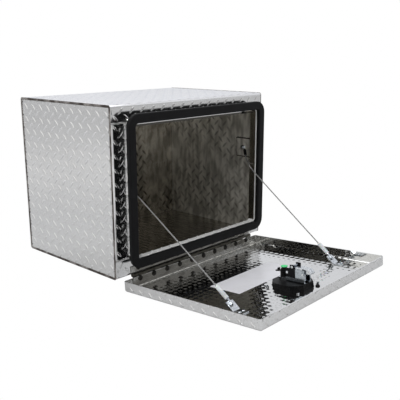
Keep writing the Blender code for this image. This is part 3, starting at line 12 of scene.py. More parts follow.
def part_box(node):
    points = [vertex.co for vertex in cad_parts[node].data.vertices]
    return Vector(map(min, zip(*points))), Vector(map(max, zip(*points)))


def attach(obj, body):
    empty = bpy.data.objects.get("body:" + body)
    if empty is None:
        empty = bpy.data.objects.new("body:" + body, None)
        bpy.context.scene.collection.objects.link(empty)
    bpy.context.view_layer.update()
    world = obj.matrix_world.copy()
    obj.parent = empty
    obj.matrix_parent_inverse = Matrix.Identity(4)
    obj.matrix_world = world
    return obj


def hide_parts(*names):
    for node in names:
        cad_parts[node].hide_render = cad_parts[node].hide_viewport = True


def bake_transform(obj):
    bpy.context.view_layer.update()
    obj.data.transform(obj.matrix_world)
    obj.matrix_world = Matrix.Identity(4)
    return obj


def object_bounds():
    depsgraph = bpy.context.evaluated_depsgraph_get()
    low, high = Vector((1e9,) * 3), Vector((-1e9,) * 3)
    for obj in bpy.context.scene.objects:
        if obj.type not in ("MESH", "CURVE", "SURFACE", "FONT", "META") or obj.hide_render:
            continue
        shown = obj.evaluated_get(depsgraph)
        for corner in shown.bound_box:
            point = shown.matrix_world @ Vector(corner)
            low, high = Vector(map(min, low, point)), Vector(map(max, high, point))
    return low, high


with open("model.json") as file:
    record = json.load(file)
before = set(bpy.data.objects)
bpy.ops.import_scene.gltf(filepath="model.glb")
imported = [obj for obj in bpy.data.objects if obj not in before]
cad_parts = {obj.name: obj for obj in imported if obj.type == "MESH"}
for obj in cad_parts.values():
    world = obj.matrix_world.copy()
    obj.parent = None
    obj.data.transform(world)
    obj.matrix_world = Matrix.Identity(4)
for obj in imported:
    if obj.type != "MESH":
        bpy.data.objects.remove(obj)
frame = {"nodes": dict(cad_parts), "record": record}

CAD_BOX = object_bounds()
NODES = frame["nodes"]
rng = random.Random(31)

# Camera, solved from the photograph of the box
CAMERA_PLACE = (-1.2594, -1.3939, 0.5921)
CAMERA_YAW = math.radians(47.07)
CAMERA_PITCH = math.radians(-13.91)
CAMERA_ROLL = math.radians(-0.10)
CAMERA_FOCAL_PIXELS = 609.1
PICTURE_PIXELS = 400
SENSOR_WIDTH = 36

# Sizes shared with the CAD model, in metres
HALF_WIDTH = 0.3048
HALF_DEPTH = 0.2032
BODY_HEIGHT = 0.4572
SHEET = 0.0025
PIN_Y = -0.2080
DOOR_TILT = math.radians(4.25)
DOOR_REACH = 0.4572
DOOR_HALF_WIDTH = 0.2845
DOOR_SKIN_Z = -0.0343
DOOR_OUTER_Z = -0.0368
DOOR_RIM_Z = -0.0076
MOUTH_BOTTOM = 0.0500
LATCH_REACH = 0.3440
HINGE_FLANGE_REACH = 0.0200

# Where a finish changes or painted light and shade begin (lip, strike tongue, end walls, door's fold),
# and how deep in the body a sheet's inner side is taken to start
LIP_SIDE_X = 0.2535
LIP_HIGHLIGHT_EDGE = (-0.2220, -0.2190)
MOUTH_MIDDLE_Z = 0.23
TONGUE_BRIGHT_Z = 0.4040
TONGUE_BEHIND = 0.001
END_WALL_LIGHT_FADE = (0.22, 0.42)
FOLD_LEAN = (0.45, 0.95)
INNER_SIDE = 0.9 * SHEET

# Latch, lock and bumper, in the door's frame
PADDLE_BRIGHT_Z = -0.0173
DIPPED_ABOVE = -0.0065
DIPPED_BEFORE = 0.3640
CAP_PLACE = (0.0045, -0.3155)
CAP_NECK_TOP = 0.0114
BUMPER_PLACE = (0.0310, -0.4003)
CAM_TIP = (0.0030, -0.2985, 0.0022)
CAM_SIZE = (0.0085, 0.0045, 0.0080)
CAM_ROUNDING = 0.0008

# Turned shapes, as pairs of radius and height
CAP_PROFILE = (
    (0.0, 0.0082), (0.0070, 0.0082), (0.0072, 0.0115), (0.0090, 0.0115), (0.0094, 0.0123),
    (0.0091, 0.0132), (0.0080, 0.0137), (0.0034, 0.0139), (0.0, 0.0139),
)
BUMPER_PROFILE = (
    (0.0060, 0.0), (0.0060, 0.0012), (0.0054, 0.0028), (0.0040, 0.0040), (0.0020, 0.0046), (0.0, 0.0047),
)
RIVET_PROFILE = (
    (0.0076, -0.0001), (0.0077, 0.0005), (0.0071, 0.0015), (0.0055, 0.0026), (0.0036, 0.0032),
    (0.0024, 0.0034), (0.0019, 0.0033), (0.0015, 0.00305), (0.0, 0.00308),
)

# Tread bars: their size, and how far they stay from bends, welds, the door's hinge and its latch
BAR_PITCH = 0.0368
BAR_LENGTH = 0.0255
BAR_WIDTH = 0.0074
BAR_HEIGHT = 0.0010
LOW_BAR_HEIGHT = 0.0006
BAR_MARGIN = 0.0010
BAR_POINTS = 10
BAR_TURN = 0.03
LIP_BAR_HEIGHT = 0.0017
BEND_REACH = 0.0066
WELD_REACH = 0.0060
WRAPPER_LAP = 0.0034
LATCH_BARE = 0.064
HINGE_BARE = 0.020

# The front bands and the opening lip, where they carry bars
TOP_BAND_Z = 0.4165
TOP_BAND_HIGH = 0.0342
LEFT_BAND_X = -0.2985
RIGHT_BAND_X = 0.2585
BAND_Z = 0.0515
BAND_WIDE = 0.0400
BAND_HIGH = 0.3585
FOOT_HIGH = 0.0420
LIP_HALF_WIDTH = 0.2580
LIP_DEPTH = 0.0248
LIP_Z = 0.062
LIP_HIGH = 0.340
LIP_TOP_Z = 0.4160
TOP_LIP_HALF_WIDTH = 0.243
LOW_LIP_HALF_WIDTH = 0.245
LOW_LIP_REACH = 0.0220
LOW_LIP_DEPTH = 0.0230
LIP_STEP = 0.0003

# Hinge rivets
KNUCKLE_RADIUS = 0.0045
KNUCKLE_REACH = 1.3 * KNUCKLE_RADIUS
BOX_LEAF_FRONT = -0.2055
DOOR_RIVET_REACH = 0.0122
BOX_RIVET_REACH = 0.0178
RIVET_COUNT = 10
RIVET_PITCH = 0.0508

# Stay cables: their ends in the lugs and sleeves, and the route between as in the CAD model,
# inward from the end wall, forward from the wall stud and down from it
WALL_X = 0.3023
ANCHOR_Y = -0.1382
ANCHOR_Z = 0.2776
UPPER_CABLE_END = (0.28897, -0.15502, 0.26576)
UPPER_SLEEVE_MOUTH = (0.27669, -0.16762, 0.2569)
CABLE_ROUTE = (
    (0.0331, 0.0371, 0.0261),
    (0.0432, 0.0498, 0.0338),
    (0.0559, 0.0701, 0.0452),
    (0.0623, 0.0980, 0.0647),
)
LOWER_SLEEVE_MOUTH = (0.22652, -0.48572, 0.03884)
LOWER_CABLE_END = (0.22505, -0.51293, 0.01986)
ANCHOR_FOOT = 0.004
ANCHOR_WELD_CORNER = 0.003
ANCHOR_WELD_STEP = 0.0012
ANCHOR_WELD_WIDTH = 0.0045
ANCHOR_WELD_RISE = 0.0018
CABLE_STEP = 0.0028
CABLE_LAY = 0.020
CORE_RADIUS = 0.0011
STRAND_RADIUS = 0.00062
STRAND_REACH = 0.00118

# Weld beads: along the body's corners, and across its front bands
BEAD_REACH = 0.0052
BEAD_PROUD = 0.0012
BEAD_LOW = 0.0002
BEAD_TOE = 0.0008
BEAD_STEP = 0.0009
BEAD_RIPPLE = 0.0036
BEAD_CORNER = 0.0065
BEAD_SECTION = 6
SEAM_REACH = 0.0026
SEAM_PROUD = 0.0011
SEAM_STEP = 0.0010
SEAM_START = 0.0010
SEAM_WAVE = 0.0006
SEAM_RIPPLE = 0.0042
SEAM_END_X = 0.2590
SEAM_TOP_Z = 0.4115

# Blank card on the door's inner skin, in the door's frame
CARD_LEFT = -0.1295
CARD_RIGHT = 0.1308
CARD_NEAR = 0.1676
CARD_FAR = 0.2692
CARD_CORNER = 0.003
CARD_STEP = 0.004
CARD_HEIGHTS = (0.00003, 0.0003)

# Studio
FLOOR_Z = -0.0370
FLOOR_HALF_SIZE = 6.0
# the floor is darker near the box as painted shade and paler further out as painted light
FLOOR_NEAR_SHADE = (0.57, 0.57, 0.57)
FLOOR_FAR_SHADE = (0.78, 0.775, 0.765)
FLOOR_FADE = (0.7, 2.1)
# the plinth's dark grey is painted shade under the box
PLINTH_SHADE = (0.10, 0.10, 0.10)
PLINTH_DARK_FROM = -0.214
PLINTH_INSET = 0.030
PLINTH_BACK = 0.010
PLINTH_GAP = 0.002
ROOM_SHADE = (0.34, 0.34, 0.34)
BACKDROP_SHADE = (0.74, 0.75, 0.78)
BACKDROP_AIM = (0.66, 0.62, 0.42)
BACKDROP_SPREAD = (-0.10, 0.45)
SIDE_CARD_AIM = (-0.88, 0.43, 0.20)
SIDE_CARD_SPREAD = (0.80, 0.94)
SIDE_CARD_SHADE = (0.86, 0.86, 0.85)
LAMPS = (
    ("key_softbox", (-1.6, -1.2, 2.2), (0, -0.1, 0.2), (1.6, 1.6), 26),
    ("top_softbox", (0.2, 0.3, 2.4), (0, 0, 0.3), (1.8, 1.8), 14),
)


def door_frame():
    """Matrix from the open door's own frame to the world: -Y runs away from the hinge pin."""
    return Matrix.Translation((0, PIN_Y, 0)) @ Matrix.Rotation(-DOOR_TILT, 4, "X")


DOOR = door_frame()


def on_door(*place):
    return DOOR @ Vector(place)


def along_door(*direction):
    return DOOR.to_3x3() @ Vector(direction)


def add_object(name, data):
    piece = bpy.data.objects.new(name, data)
    bpy.context.scene.collection.objects.link(piece)
    return piece


def add_mesh(name, bm, material, body, smooth_angle=40):
    """A named mesh, smooth below an angle in degrees, that rides on a body if one is given."""
    bmesh.ops.recalc_face_normals(bm, faces=bm.faces)
    mesh = bpy.data.meshes.new(name)
    bm.to_mesh(mesh)
    bm.free()
    mesh.shade_smooth()
    mesh.set_sharp_from_angle(angle=math.radians(smooth_angle))
    mesh.materials.append(material)
    piece = add_object(name, mesh)
    if body:
        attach(piece, body)
    return piece


# Materials


def link(tree, value, socket):
    """A socket is linked, and a plain value is set."""
    if isinstance(value, bpy.types.NodeSocket):
        tree.links.new(value, socket)
    elif value is not None:
        socket.default_value = value


def add_node(tree, kind, values=(), **settings):
    """A node with its settings, its inputs linked or set in order (None leaves one alone)."""
    node = tree.nodes.new(kind)
    for key, setting in settings.items():
        setattr(node, key, setting)
    pairs = values.items() if isinstance(values, dict) else enumerate(values)
    for key, value in pairs:
        link(tree, value, node.inputs[key])
    return node


def math_node(tree, operation, *values, clamp=False):
    return add_node(tree, "ShaderNodeMath", values, operation=operation, use_clamp=clamp).outputs[0]


def multiply(tree, first, second, clamp=False):
    return math_node(tree, "MULTIPLY", first, second, clamp=clamp)


def plus(tree, first, second):
    return math_node(tree, "ADD", first, second)


def minus(tree, first, second):
    return math_node(tree, "SUBTRACT", first, second)


def above(tree, value, limit):
    return math_node(tree, "GREATER_THAN", value, limit)


def below(tree, value, limit):
    return math_node(tree, "LESS_THAN", value, limit)


def dot_product(tree, first, second):
    node = add_node(tree, "ShaderNodeVectorMath", (first, second), operation="DOT_PRODUCT")
    return node.outputs["Value"]


def axes_of(tree, place):
    return add_node(tree, "ShaderNodeSeparateXYZ", (place,)).outputs


def mix_colours(tree, share, first, second):
    """A mix of two colours, each a socket or its red, green and blue."""
    node = add_node(tree, "ShaderNodeMix", {0: share}, data_type="RGBA")
    for colour, index in ((first, 6), (second, 7)):
        link(tree, (*colour, 1) if isinstance(colour, tuple) else colour, node.inputs[index])
    return node.outputs[2]


def tint(tree, mask, share, under, over):
    """The colour under a mask, mixed by a share of the mask with the colour over it."""
    return mix_colours(tree, multiply(tree, mask, share), under, over)


def blend_values(tree, share, low, high):
    return add_node(tree, "ShaderNodeMapRange", (share, 0.0, 1.0, low, high)).outputs[0]


def stretch(tree, value, low, high):
    """The value with low and high moved to 0 and 1, smooth at both ends."""
    node = add_node(tree, "ShaderNodeMapRange", (value, low, high, 0.0, 1.0))
    node.interpolation_type = "SMOOTHSTEP"
    return node.outputs[0]


def noise(tree, place, scale, detail=2.0, roughness=0.5):
    values = {"Vector": place, "Scale": scale, "Detail": detail, "Roughness": roughness}
    return add_node(tree, "ShaderNodeTexNoise", values).outputs["Fac"]


def new_group(name, inputs, outputs):
    """A node group with named inputs and outputs; each input is (name, kind, value)."""
    group = bpy.data.node_groups.new(name, "ShaderNodeTree")
    for label, kind, value in inputs:
        socket = group.interface.new_socket(label, in_out="INPUT", socket_type="NodeSocket" + kind)
        if value is not None:
            socket.default_value = value
    for label, kind in outputs:
        group.interface.new_socket(label, in_out="OUTPUT", socket_type="NodeSocket" + kind)
    start = group.nodes.new("NodeGroupInput")
    end = group.nodes.new("NodeGroupOutput")
    return group, start.outputs, end.inputs


def make_tread_print():
    """Heights from 0 to 1 at a place on the sheet's smooth side: the bars that show through it
    one by one, and the soft quilting that their rows leave between them."""
    inputs = ("Across", "Float", 0.0), ("Along", "Float", 0.0), ("Softness", "Float", 0.5)
    outputs = ("Height", "Float"), ("Quilt", "Float")
    group, given, result = new_group("tread_print", inputs, outputs)
    waves = [
        math_node(group, "COSINE", multiply(group, given[label], 4 * math.pi / BAR_PITCH))
        for label in ("Across", "Along")
    ]
    difference = minus(group, *waves)
    link(group, math_node(group, "MULTIPLY_ADD", difference, 0.25, 0.5), result["Quilt"])
    heights = []
    for shift, sign in ((0.0, 1.0), (0.5, -1.0)):
        offsets = []
        for label in ("Across", "Along"):
            cell = plus(group, math_node(group, "DIVIDE", given[label], BAR_PITCH), shift)
            nearest = math_node(group, "ROUND", cell)
            offsets.append(multiply(group, minus(group, cell, nearest), BAR_PITCH))
        flipped = multiply(group, offsets[1], sign)
        along = plus(group, offsets[0], flipped)
        across = minus(group, offsets[0], flipped)
        half = 1 / math.sqrt(2)
        long_share = multiply(group, along, half / (BAR_LENGTH / 2))
        wide_share = multiply(group, across, half / (BAR_WIDTH / 2))
        squares = math_node(
            group, "ADD", math_node(group, "POWER", math_node(group, "ABSOLUTE", long_share), 2.0),
            math_node(group, "POWER", math_node(group, "ABSOLUTE", wide_share), 1.6),
        )
        edge = plus(group, 1.0, given["Softness"])
        heights.append(add_node(group, "ShaderNodeMapRange", (squares, edge, 0.0, 0.0, 1.0),
                                interpolation_type="SMOOTHERSTEP").outputs[0])
    link(group, math_node(group, "MAXIMUM", *heights), result["Height"])
    return group


def make_grime():
    """Mask of thin dirt: in patches, and in the creases that face inward."""
    inputs = ("Amount", "Float", 0.3), ("Patch Scale", "Float", 9.0), ("Crease", "Float", 0.6)
    group, given, result = new_group("settled_grime", inputs, (("Mask", "Float"),))
    geometry = group.nodes.new("ShaderNodeNewGeometry")
    place = group.nodes.new("ShaderNodeTexCoord").outputs["Object"]
    patches = stretch(group, noise(group, place, given["Patch Scale"], 5.0, 0.6), 0.42, 0.72)
    crease = stretch(group, geometry.outputs["Pointiness"], 0.495, 0.44)
    both = plus(group, patches, multiply(group, crease, given["Crease"]))
    link(group, multiply(group, both, given["Amount"], clamp=True), result["Mask"])
    return group


def make_edge_wear():
    """Mask of rubbed outer edges, broken up by fine noise."""
    inputs = ("Width", "Float", 0.5), ("Grain Scale", "Float", 160.0)
    group, given, result = new_group("rubbed_edges", inputs, (("Mask", "Float"),))
    geometry = group.nodes.new("ShaderNodeNewGeometry")
    start = plus(group, 0.5, multiply(group, given["Width"], 0.02))
    end = plus(group, start, 0.03)
    limits = (geometry.outputs["Pointiness"], start, end, 0.0, 1.0)
    edge = add_node(group, "ShaderNodeMapRange", limits).outputs[0]
    place = group.nodes.new("ShaderNodeTexCoord").outputs["Object"]
    grain = stretch(group, noise(group, place, given["Grain Scale"], 3.0), 0.35, 0.6)
    link(group, multiply(group, edge, grain, clamp=True), result["Mask"])
    return group


def make_rolled_grain():
    """Fine lines left by the rolls, drawn out along one axis, with slow waves under them."""
    inputs = (
        ("Place", "Vector", None), ("Stretch", "Vector", None),
        ("Fineness", "Float", 60.0), ("Detail", "Float", 4.0),
    )
    outputs = ("Lines", "Float"), ("Waves", "Float")
    group, given, result = new_group("rolled_grain", inputs, outputs)
    stretched = add_node(
        group, "ShaderNodeVectorMath", (given["Place"], given["Stretch"]), operation="MULTIPLY"
    ).outputs[0]
    link(group, noise(group, stretched, given["Fineness"], given["Detail"], 0.65), result["Lines"])
    link(group, noise(group, given["Place"], 7.0, 2.0, 0.4), result["Waves"])
    return group


def make_specks():
    """Small separate spots, for dust on dark parts and pits in bright ones."""
    inputs = ("Scale", "Float", 300.0), ("Cover", "Float", 0.2)
    group, given, result = new_group("fine_specks", inputs, (("Mask", "Float"),))
    place = group.nodes.new("ShaderNodeTexCoord").outputs["Object"]
    values = {"Vector": place, "Scale": given["Scale"]}
    cells = add_node(group, "ShaderNodeTexVoronoi", values).outputs["Distance"]
    limit = multiply(group, given["Cover"], 0.6)
    link(group, below(group, cells, limit), result["Mask"])
    return group


TREAD_PRINT = make_tread_print()
GRIME = make_grime()
EDGE_WEAR = make_edge_wear()
ROLLED_GRAIN = make_rolled_grain()
SPECKS = make_specks()


def use_group(tree, group, **values):
    node = tree.nodes.new("ShaderNodeGroup")
    node.node_tree = group
    for label, value in values.items():
        link(tree, value, node.inputs[label.replace("_", " ")])
    return node.outputs


def grime_on(tree, amount, patch_scale, crease):
    return use_group(tree, GRIME, Amount=amount, Patch_Scale=patch_scale, Crease=crease)["Mask"]


def wear_on(tree, width, grain_scale):
    return use_group(tree, EDGE_WEAR, Width=width, Grain_Scale=grain_scale)["Mask"]


def specks_on(tree, scale, cover):
    return use_group(tree, SPECKS, Scale=scale, Cover=cover)["Mask"]


def roll_grain(tree, place, stretch_axes, fineness, detail=4.0):
    values = {"Place": place, "Stretch": stretch_axes, "Fineness": fineness, "Detail": detail}
    return use_group(tree, ROLLED_GRAIN, **values)


def bump(tree, height, distance, strength=1.0, normal=None):
    values = {"Height": height, "Distance": distance, "Strength": strength, "Normal": normal}
    return add_node(tree, "ShaderNodeBump", values).outputs["Normal"]


def set_shader(tree, shader, **values):
    for label, value in values.items():
        link(tree, value, shader.inputs[label.replace("_", " ")])


def metal(tree, shader, colour, roughness, normal, metallic=1.0):
    set_shader(tree, shader, Base_Color=colour, Roughness=roughness, Normal=normal, Metallic=metallic)


def grimy_gloss(tree, lines, gloss, grime, dulling):
    """Roughness between two values along the roll lines, higher where grime lies."""
    return plus(tree, blend_values(tree, lines, *gloss), multiply(tree, grime, dulling))


def tongue_shade(tree, place):
    """Mask of the strike tongue's hanging part, below its upper few millimetres, which is painted dark as
    painted shade.
    """
    axes = axes_of(tree, place)
    front = below(tree, axes["Y"], SHEET - HALF_DEPTH + TONGUE_BEHIND)
    hanging = below(tree, axes["Z"], TONGUE_BRIGHT_Z)
    above_mouth = above(tree, axes["Z"], MOUTH_MIDDLE_Z)
    return multiply(tree, front, multiply(tree, hanging, above_mouth))


def tread_outside(tree, shader, place, gloss, dark, light, with_tongue=False):
    """Bright rolled plate: satin between the bars, with faint roll lines and thin grime."""
    grain = roll_grain(tree, place, (1.0, 1.0, 6.0), 90.0)
    grime = grime_on(tree, 0.35, 14.0, 0.5)
    base = mix_colours(tree, grain["Waves"], dark, light)
    dirty = tint(tree, grime, 0.35, base, (0.42, 0.41, 0.39))
    marked = tint(tree, specks_on(tree, 420.0, 0.22), 0.12, dirty, (0.30, 0.29, 0.28))
    colour = mix_colours(tree, wear_on(tree, 0.4, 240.0), marked, (0.93, 0.93, 0.93))
    # the wrapper's strike tongue gets painted shade on its hanging part
    if with_tongue:
        colour = mix_colours(tree, tongue_shade(tree, place), colour, (0.10, 0.095, 0.085))
    swells = bump(tree, grain["Waves"], 0.003, 0.4)
    metal(tree, shader, colour, grimy_gloss(tree, grain["Lines"], gloss, grime, 0.12),
          bump(tree, grain["Lines"], 0.00003, 0.5, swells))


def mill_inside(
    tree, shader, place, across, along, stretch_axes, dark, light, gloss, spotting,
    low_share=1.0, metallic=1.0,
):
    """The plate's smooth side, quilted by the bars behind it, with painted shade darkening the spots
    where they print through, and long roll waves.
    """
    axes = axes_of(tree, place)
    printed = use_group(tree, TREAD_PRINT, Across=axes[across], Along=axes[along], Softness=0.9)
    grain = roll_grain(tree, place, stretch_axes, 17.0, 1.2)
    grime = grime_on(tree, 0.4, 8.0, 0.8)
    base = mix_colours(tree, stretch(tree, grain["Lines"], 0.3, 0.7), dark, light)
    # the spots where the bars print through are darkened: painted shade in the dimples
    spots = multiply(tree, printed["Height"], stretch(tree, grain["Waves"], 0.3, 0.6))
    spotted = tint(tree, spots, spotting, base, (0.10, 0.085, 0.07))
    # end walls: painted shade low down, giving way to painted light from the opening higher up
    if low_share < 1:
        uneven = plus(tree, axes["Z"], multiply(tree, grain["Waves"], 0.10))
        lit = blend_values(tree, stretch(tree, uneven, *END_WALL_LIGHT_FADE), low_share, 1.0)
        spotted = mix_colours(tree, lit, (0.0, 0.0, 0.0), spotted)
    colour = tint(tree, grime, 0.35, spotted, (0.20, 0.18, 0.16))
    swells = bump(tree, grain["Waves"], 0.004, 0.5)
    quilted = bump(tree, printed["Quilt"], 0.0007, 0.8, swells)
    barred = bump(tree, printed["Height"], 0.0003, 0.6, quilted)
    metal(tree, shader, colour, grimy_gloss(tree, grain["Lines"], gloss, grime, 0.12),
          bump(tree, grain["Lines"], 0.0005, 0.35, barred), metallic)


def door_inside(tree, shader, place, quilting):
    """The door's smooth side: nearly a mirror, rippled by the bars on its other side."""
    axes = axes_of(tree, place)
    printed = use_group(tree, TREAD_PRINT, Across=axes["X"], Along=axes["Y"], Softness=1.2)
    grain = roll_grain(tree, place, (1.0, 6.0, 1.0), 30.0)
    grime = grime_on(tree, 0.3, 16.0, 0.6)
    base = mix_colours(tree, grain["Waves"], (0.76, 0.76, 0.75), (0.84, 0.84, 0.83))
    colour = tint(tree, grime, 0.3, base, (0.45, 0.44, 0.42))
    quilted = bump(tree, printed["Quilt"], quilting, 0.9)
    metal(tree, shader, colour, grimy_gloss(tree, grain["Lines"], (0.04, 0.08), grime, 0.08),
          bump(tree, grain["Lines"], 0.0002, 0.3, quilted))


def lip_inside(tree, shader, place):
    """The lip's inner faces: a near-white, hardly metallic painted highlight, and on the side faces
    behind its edge painted shade as dark, glossier metal.
    """
    axes = axes_of(tree, place)
    lines = roll_grain(tree, place, (1.0, 4.0, 1.0), 60.0)["Lines"]
    side = above(tree, math_node(tree, "ABSOLUTE", axes["X"]), LIP_SIDE_X)
    edge = plus(tree, axes["Y"], multiply(tree, lines, 0.004))
    # behind marks the painted shade on the side faces, and rubbed the painted highlight elsewhere
    behind = multiply(tree, side, stretch(tree, edge, *LIP_HIGHLIGHT_EDGE))
    rubbed = mix_colours(tree, lines, (0.86, 0.86, 0.85), (0.98, 0.98, 0.97))
    colour = mix_colours(tree, behind, rubbed, (0.42, 0.40, 0.36))
    metal(tree, shader, colour, blend_values(tree, behind, 0.50, 0.20), bump(tree, lines, 0.0003, 0.5),
          blend_values(tree, behind, 0.1, 1.0))


def knuckle_steel(tree, shader, place):
    """Hinge knuckles and pin: steel in dark colours as painted shade, darker still where oil lies."""
    lines = roll_grain(tree, place, (1.0, 9.0, 9.0), 120.0)["Lines"]
    oil = grime_on(tree, 0.7, 60.0, 0.9)
    base = mix_colours(tree, lines, (0.085, 0.08, 0.066), (0.15, 0.142, 0.12))
    colour = mix_colours(tree, oil, base, (0.035, 0.032, 0.026))
    metal(tree, shader, colour, blend_values(tree, oil, 0.5, 0.36), bump(tree, lines, 0.0001, 0.5))


def weld_metal(tree, shader, place, dark, light):
    """Cast bead of a weld, rippled, with burnt patches."""
    ripples = noise(tree, place, 260.0, 3.0)
    patches = stretch(tree, noise(tree, place, 38.0, 4.0), 0.38, 0.62)
    clean = mix_colours(tree, patches, dark, light)
    colour = mix_colours(tree, grime_on(tree, 0.7, 30.0, 0.8), clean, (0.07, 0.065, 0.06))
    metal(tree, shader, colour, blend_values(tree, ripples, 0.25, 0.55),
          bump(tree, ripples, 0.0006, 0.8))


def seal_rubber(tree, shader, place):
    """Matte black rubber, a little greyer where dust lies."""
    pores = noise(tree, place, 900.0, 2.0)
    dust = grime_on(tree, 0.6, 24.0, 0.2)
    shade = tint(tree, dust, 0.5, (0.004, 0.004, 0.0045), (0.014, 0.014, 0.015))
    colour = tint(tree, specks_on(tree, 520.0, 0.2), 0.06, shade, (0.10, 0.10, 0.10))
    set_shader(tree, shader, Base_Color=colour, Roughness=blend_values(tree, pores, 0.45, 0.65),
               Normal=bump(tree, pores, 0.0001, 0.4), Specular_IOR_Level=0.16)


def bright_zinc(tree, shader, place):
    """Blue-white zinc plate with faint drawing lines and small dull spots."""
    lines = roll_grain(tree, place, (1.0, 4.0, 1.0), 160.0)["Lines"]
    base = mix_colours(tree, stretch(tree, lines, 0.3, 0.7), (0.15, 0.18, 0.21), (0.52, 0.57, 0.62))
    dirty = tint(tree, grime_on(tree, 0.5, 70.0, 0.8), 0.6, base, (0.16, 0.17, 0.18))
    dotted = tint(tree, specks_on(tree, 700.0, 0.3), 0.15, dirty, (0.35, 0.36, 0.37))
    colour = mix_colours(tree, wear_on(tree, 0.3, 500.0), dotted, (0.92, 0.94, 0.96))
    metal(tree, shader, colour, blend_values(tree, lines, 0.10, 0.20), bump(tree, lines, 0.00004, 0.5))


def black_enamel(tree, shader, place):
    """Black enamel with a fine orange peel, dusty and a little chipped at its edges."""
    dust = grime_on(tree, 0.4, 50.0, 0.3)
    shade = tint(tree, dust, 0.3, (0.003, 0.003, 0.0035), (0.012, 0.012, 0.012))
    colour = tint(tree, wear_on(tree, 0.5, 400.0), 0.25, shade, (0.05, 0.05, 0.05))
    set_shader(tree, shader, Base_Color=colour, Roughness=blend_values(tree, dust, 0.30, 0.50),
               Normal=bump(tree, noise(tree, place, 420.0, 2.0), 0.00005, 0.4), Specular_IOR_Level=0.07)


def bracket_plate(tree, shader, place):
    """The latch bracket: zinc, with its housing dipped black on the hinge side above its foot."""
    grain = roll_grain(tree, place, (1.0, 1.0, 4.0), 140.0)
    wander = multiply(tree, grain["Waves"], 0.002)
    sides = []
    for direction, test, limit in (((0, 0, 1), above, DIPPED_ABOVE), ((0, -1, 0), below, DIPPED_BEFORE)):
        aim = along_door(*direction)
        reached = plus(tree, dot_product(tree, place, tuple(aim)), wander)
        sides.append(test(tree, reached, DOOR.translation.dot(aim) + limit))
    dipped = multiply(tree, *sides)
    zinc = mix_colours(tree, grain["Lines"], (0.30, 0.34, 0.38), (0.72, 0.77, 0.82))
    dirty = tint(tree, grime_on(tree, 0.5, 80.0, 0.8), 0.6, zinc, (0.12, 0.13, 0.14))
    colour = mix_colours(tree, dipped, dirty, (0.008, 0.008, 0.009))
    set_shader(tree, shader, Base_Color=colour, Metallic=minus(tree, 1.0, dipped),
               Roughness=blend_values(tree, dipped, 0.16, 0.42),
               Normal=bump(tree, grain["Lines"], 0.00005, 0.5),
               Specular_IOR_Level=0.12)


def cable_strands(tree, shader, place):
    """Laid wire strands seen through a thin clear cover."""
    wave = add_node(tree, "ShaderNodeTexWave", {"Vector": place, "Scale": 95.0, "Distortion": 0.6},
                    wave_type="BANDS", bands_direction="DIAGONAL").outputs["Fac"]
    strands = mix_colours(tree, wave, (0.22, 0.22, 0.22), (0.72, 0.72, 0.71))
    colour = tint(tree, noise(tree, place, 45.0, 3.0), 0.4, strands, (0.36, 0.36, 0.35))
    set_shader(tree, shader, Base_Color=colour, Roughness=blend_values(tree, wave, 0.35, 0.25),
               Normal=bump(tree, wave, 0.0003, 0.7), Metallic=0.7, Coat_Weight=0.5)


def rubbed_fold(tree, shader, place):
    """The door's fold under the hinge leaf, with a pale line painted on it as painted highlight."""
    # rubbed here is the mask of a painted highlight
    rubbed = stretch(tree, noise(tree, place, 90.0, 3.0), 0.30, 0.60)
    colour = mix_colours(tree, rubbed, (0.50, 0.49, 0.46), (0.86, 0.85, 0.80))
    set_shader(tree, shader, Base_Color=colour, Roughness=blend_values(tree, rubbed, 0.5, 0.35),
               Normal=bump(tree, rubbed, 0.0001, 0.4))


def scorched_metal(tree, shader, place):
    """Burnt brown-grey edge of a weld, where soot stays in the toe; round the cable anchors' plates the
    same dark colours are painted shade.
    """
    soot = stretch(tree, noise(tree, place, 120.0, 4.0), 0.35, 0.65)
    base = mix_colours(tree, soot, (0.035, 0.027, 0.023), (0.17, 0.135, 0.12))
    colour = mix_colours(tree, grime_on(tree, 0.7, 60.0, 0.6), base, (0.02, 0.017, 0.015))
    metal(tree, shader, colour, blend_values(tree, soot, 0.5, 0.7), bump(tree, soot, 0.0003, 0.7), 0.6)


def hinge_steel(tree, shader, place):
    """Stainless leaf in dark colours as painted shade, darker still where grime lies in its corners, and
    streaked along the hinge.
    """
    lines = roll_grain(tree, place, (1.0, 9.0, 9.0), 80.0)["Lines"]
    base = mix_colours(tree, lines, (0.19, 0.183, 0.165), (0.28, 0.27, 0.245))
    dirty = mix_colours(tree, grime_on(tree, 0.6, 26.0, 0.9), base, (0.08, 0.075, 0.066))
    colour = mix_colours(tree, wear_on(tree, 0.3, 300.0), dirty, (0.55, 0.55, 0.53))
    metal(tree, shader, colour, blend_values(tree, lines, 0.20, 0.32), bump(tree, lines, 0.00005, 0.5))


def rivet_steel(tree, shader, place):
    """Dark steel of the rivet heads, with a fine grain."""
    grain = noise(tree, place, 600.0, 3.0)
    base = mix_colours(tree, grain, (0.022, 0.020, 0.018), (0.055, 0.052, 0.048))
    colour = mix_colours(tree, grime_on(tree, 0.6, 60.0, 0.6), base, (0.012, 0.011, 0.010))
    metal(tree, shader, colour, blend_values(tree, grain, 0.4, 0.6), bump(tree, grain, 0.00008, 0.5))


def pale_sleeve(tree, shader, place):
    """Pale plastic sleeve at each end of a cable, a little cloudy and grubby."""
    clouds = noise(tree, place, 130.0, 3.0)
    base = mix_colours(tree, clouds, (0.70, 0.74, 0.77), (0.86, 0.89, 0.90))
    colour = mix_colours(tree, grime_on(tree, 0.4, 60.0, 0.4), base, (0.35, 0.35, 0.34))
    set_shader(tree, shader, Base_Color=colour, Roughness=blend_values(tree, clouds, 0.22, 0.42),
               Normal=bump(tree, clouds, 0.0002, 0.4), Subsurface_Weight=0.15, Subsurface_Scale=0.003)


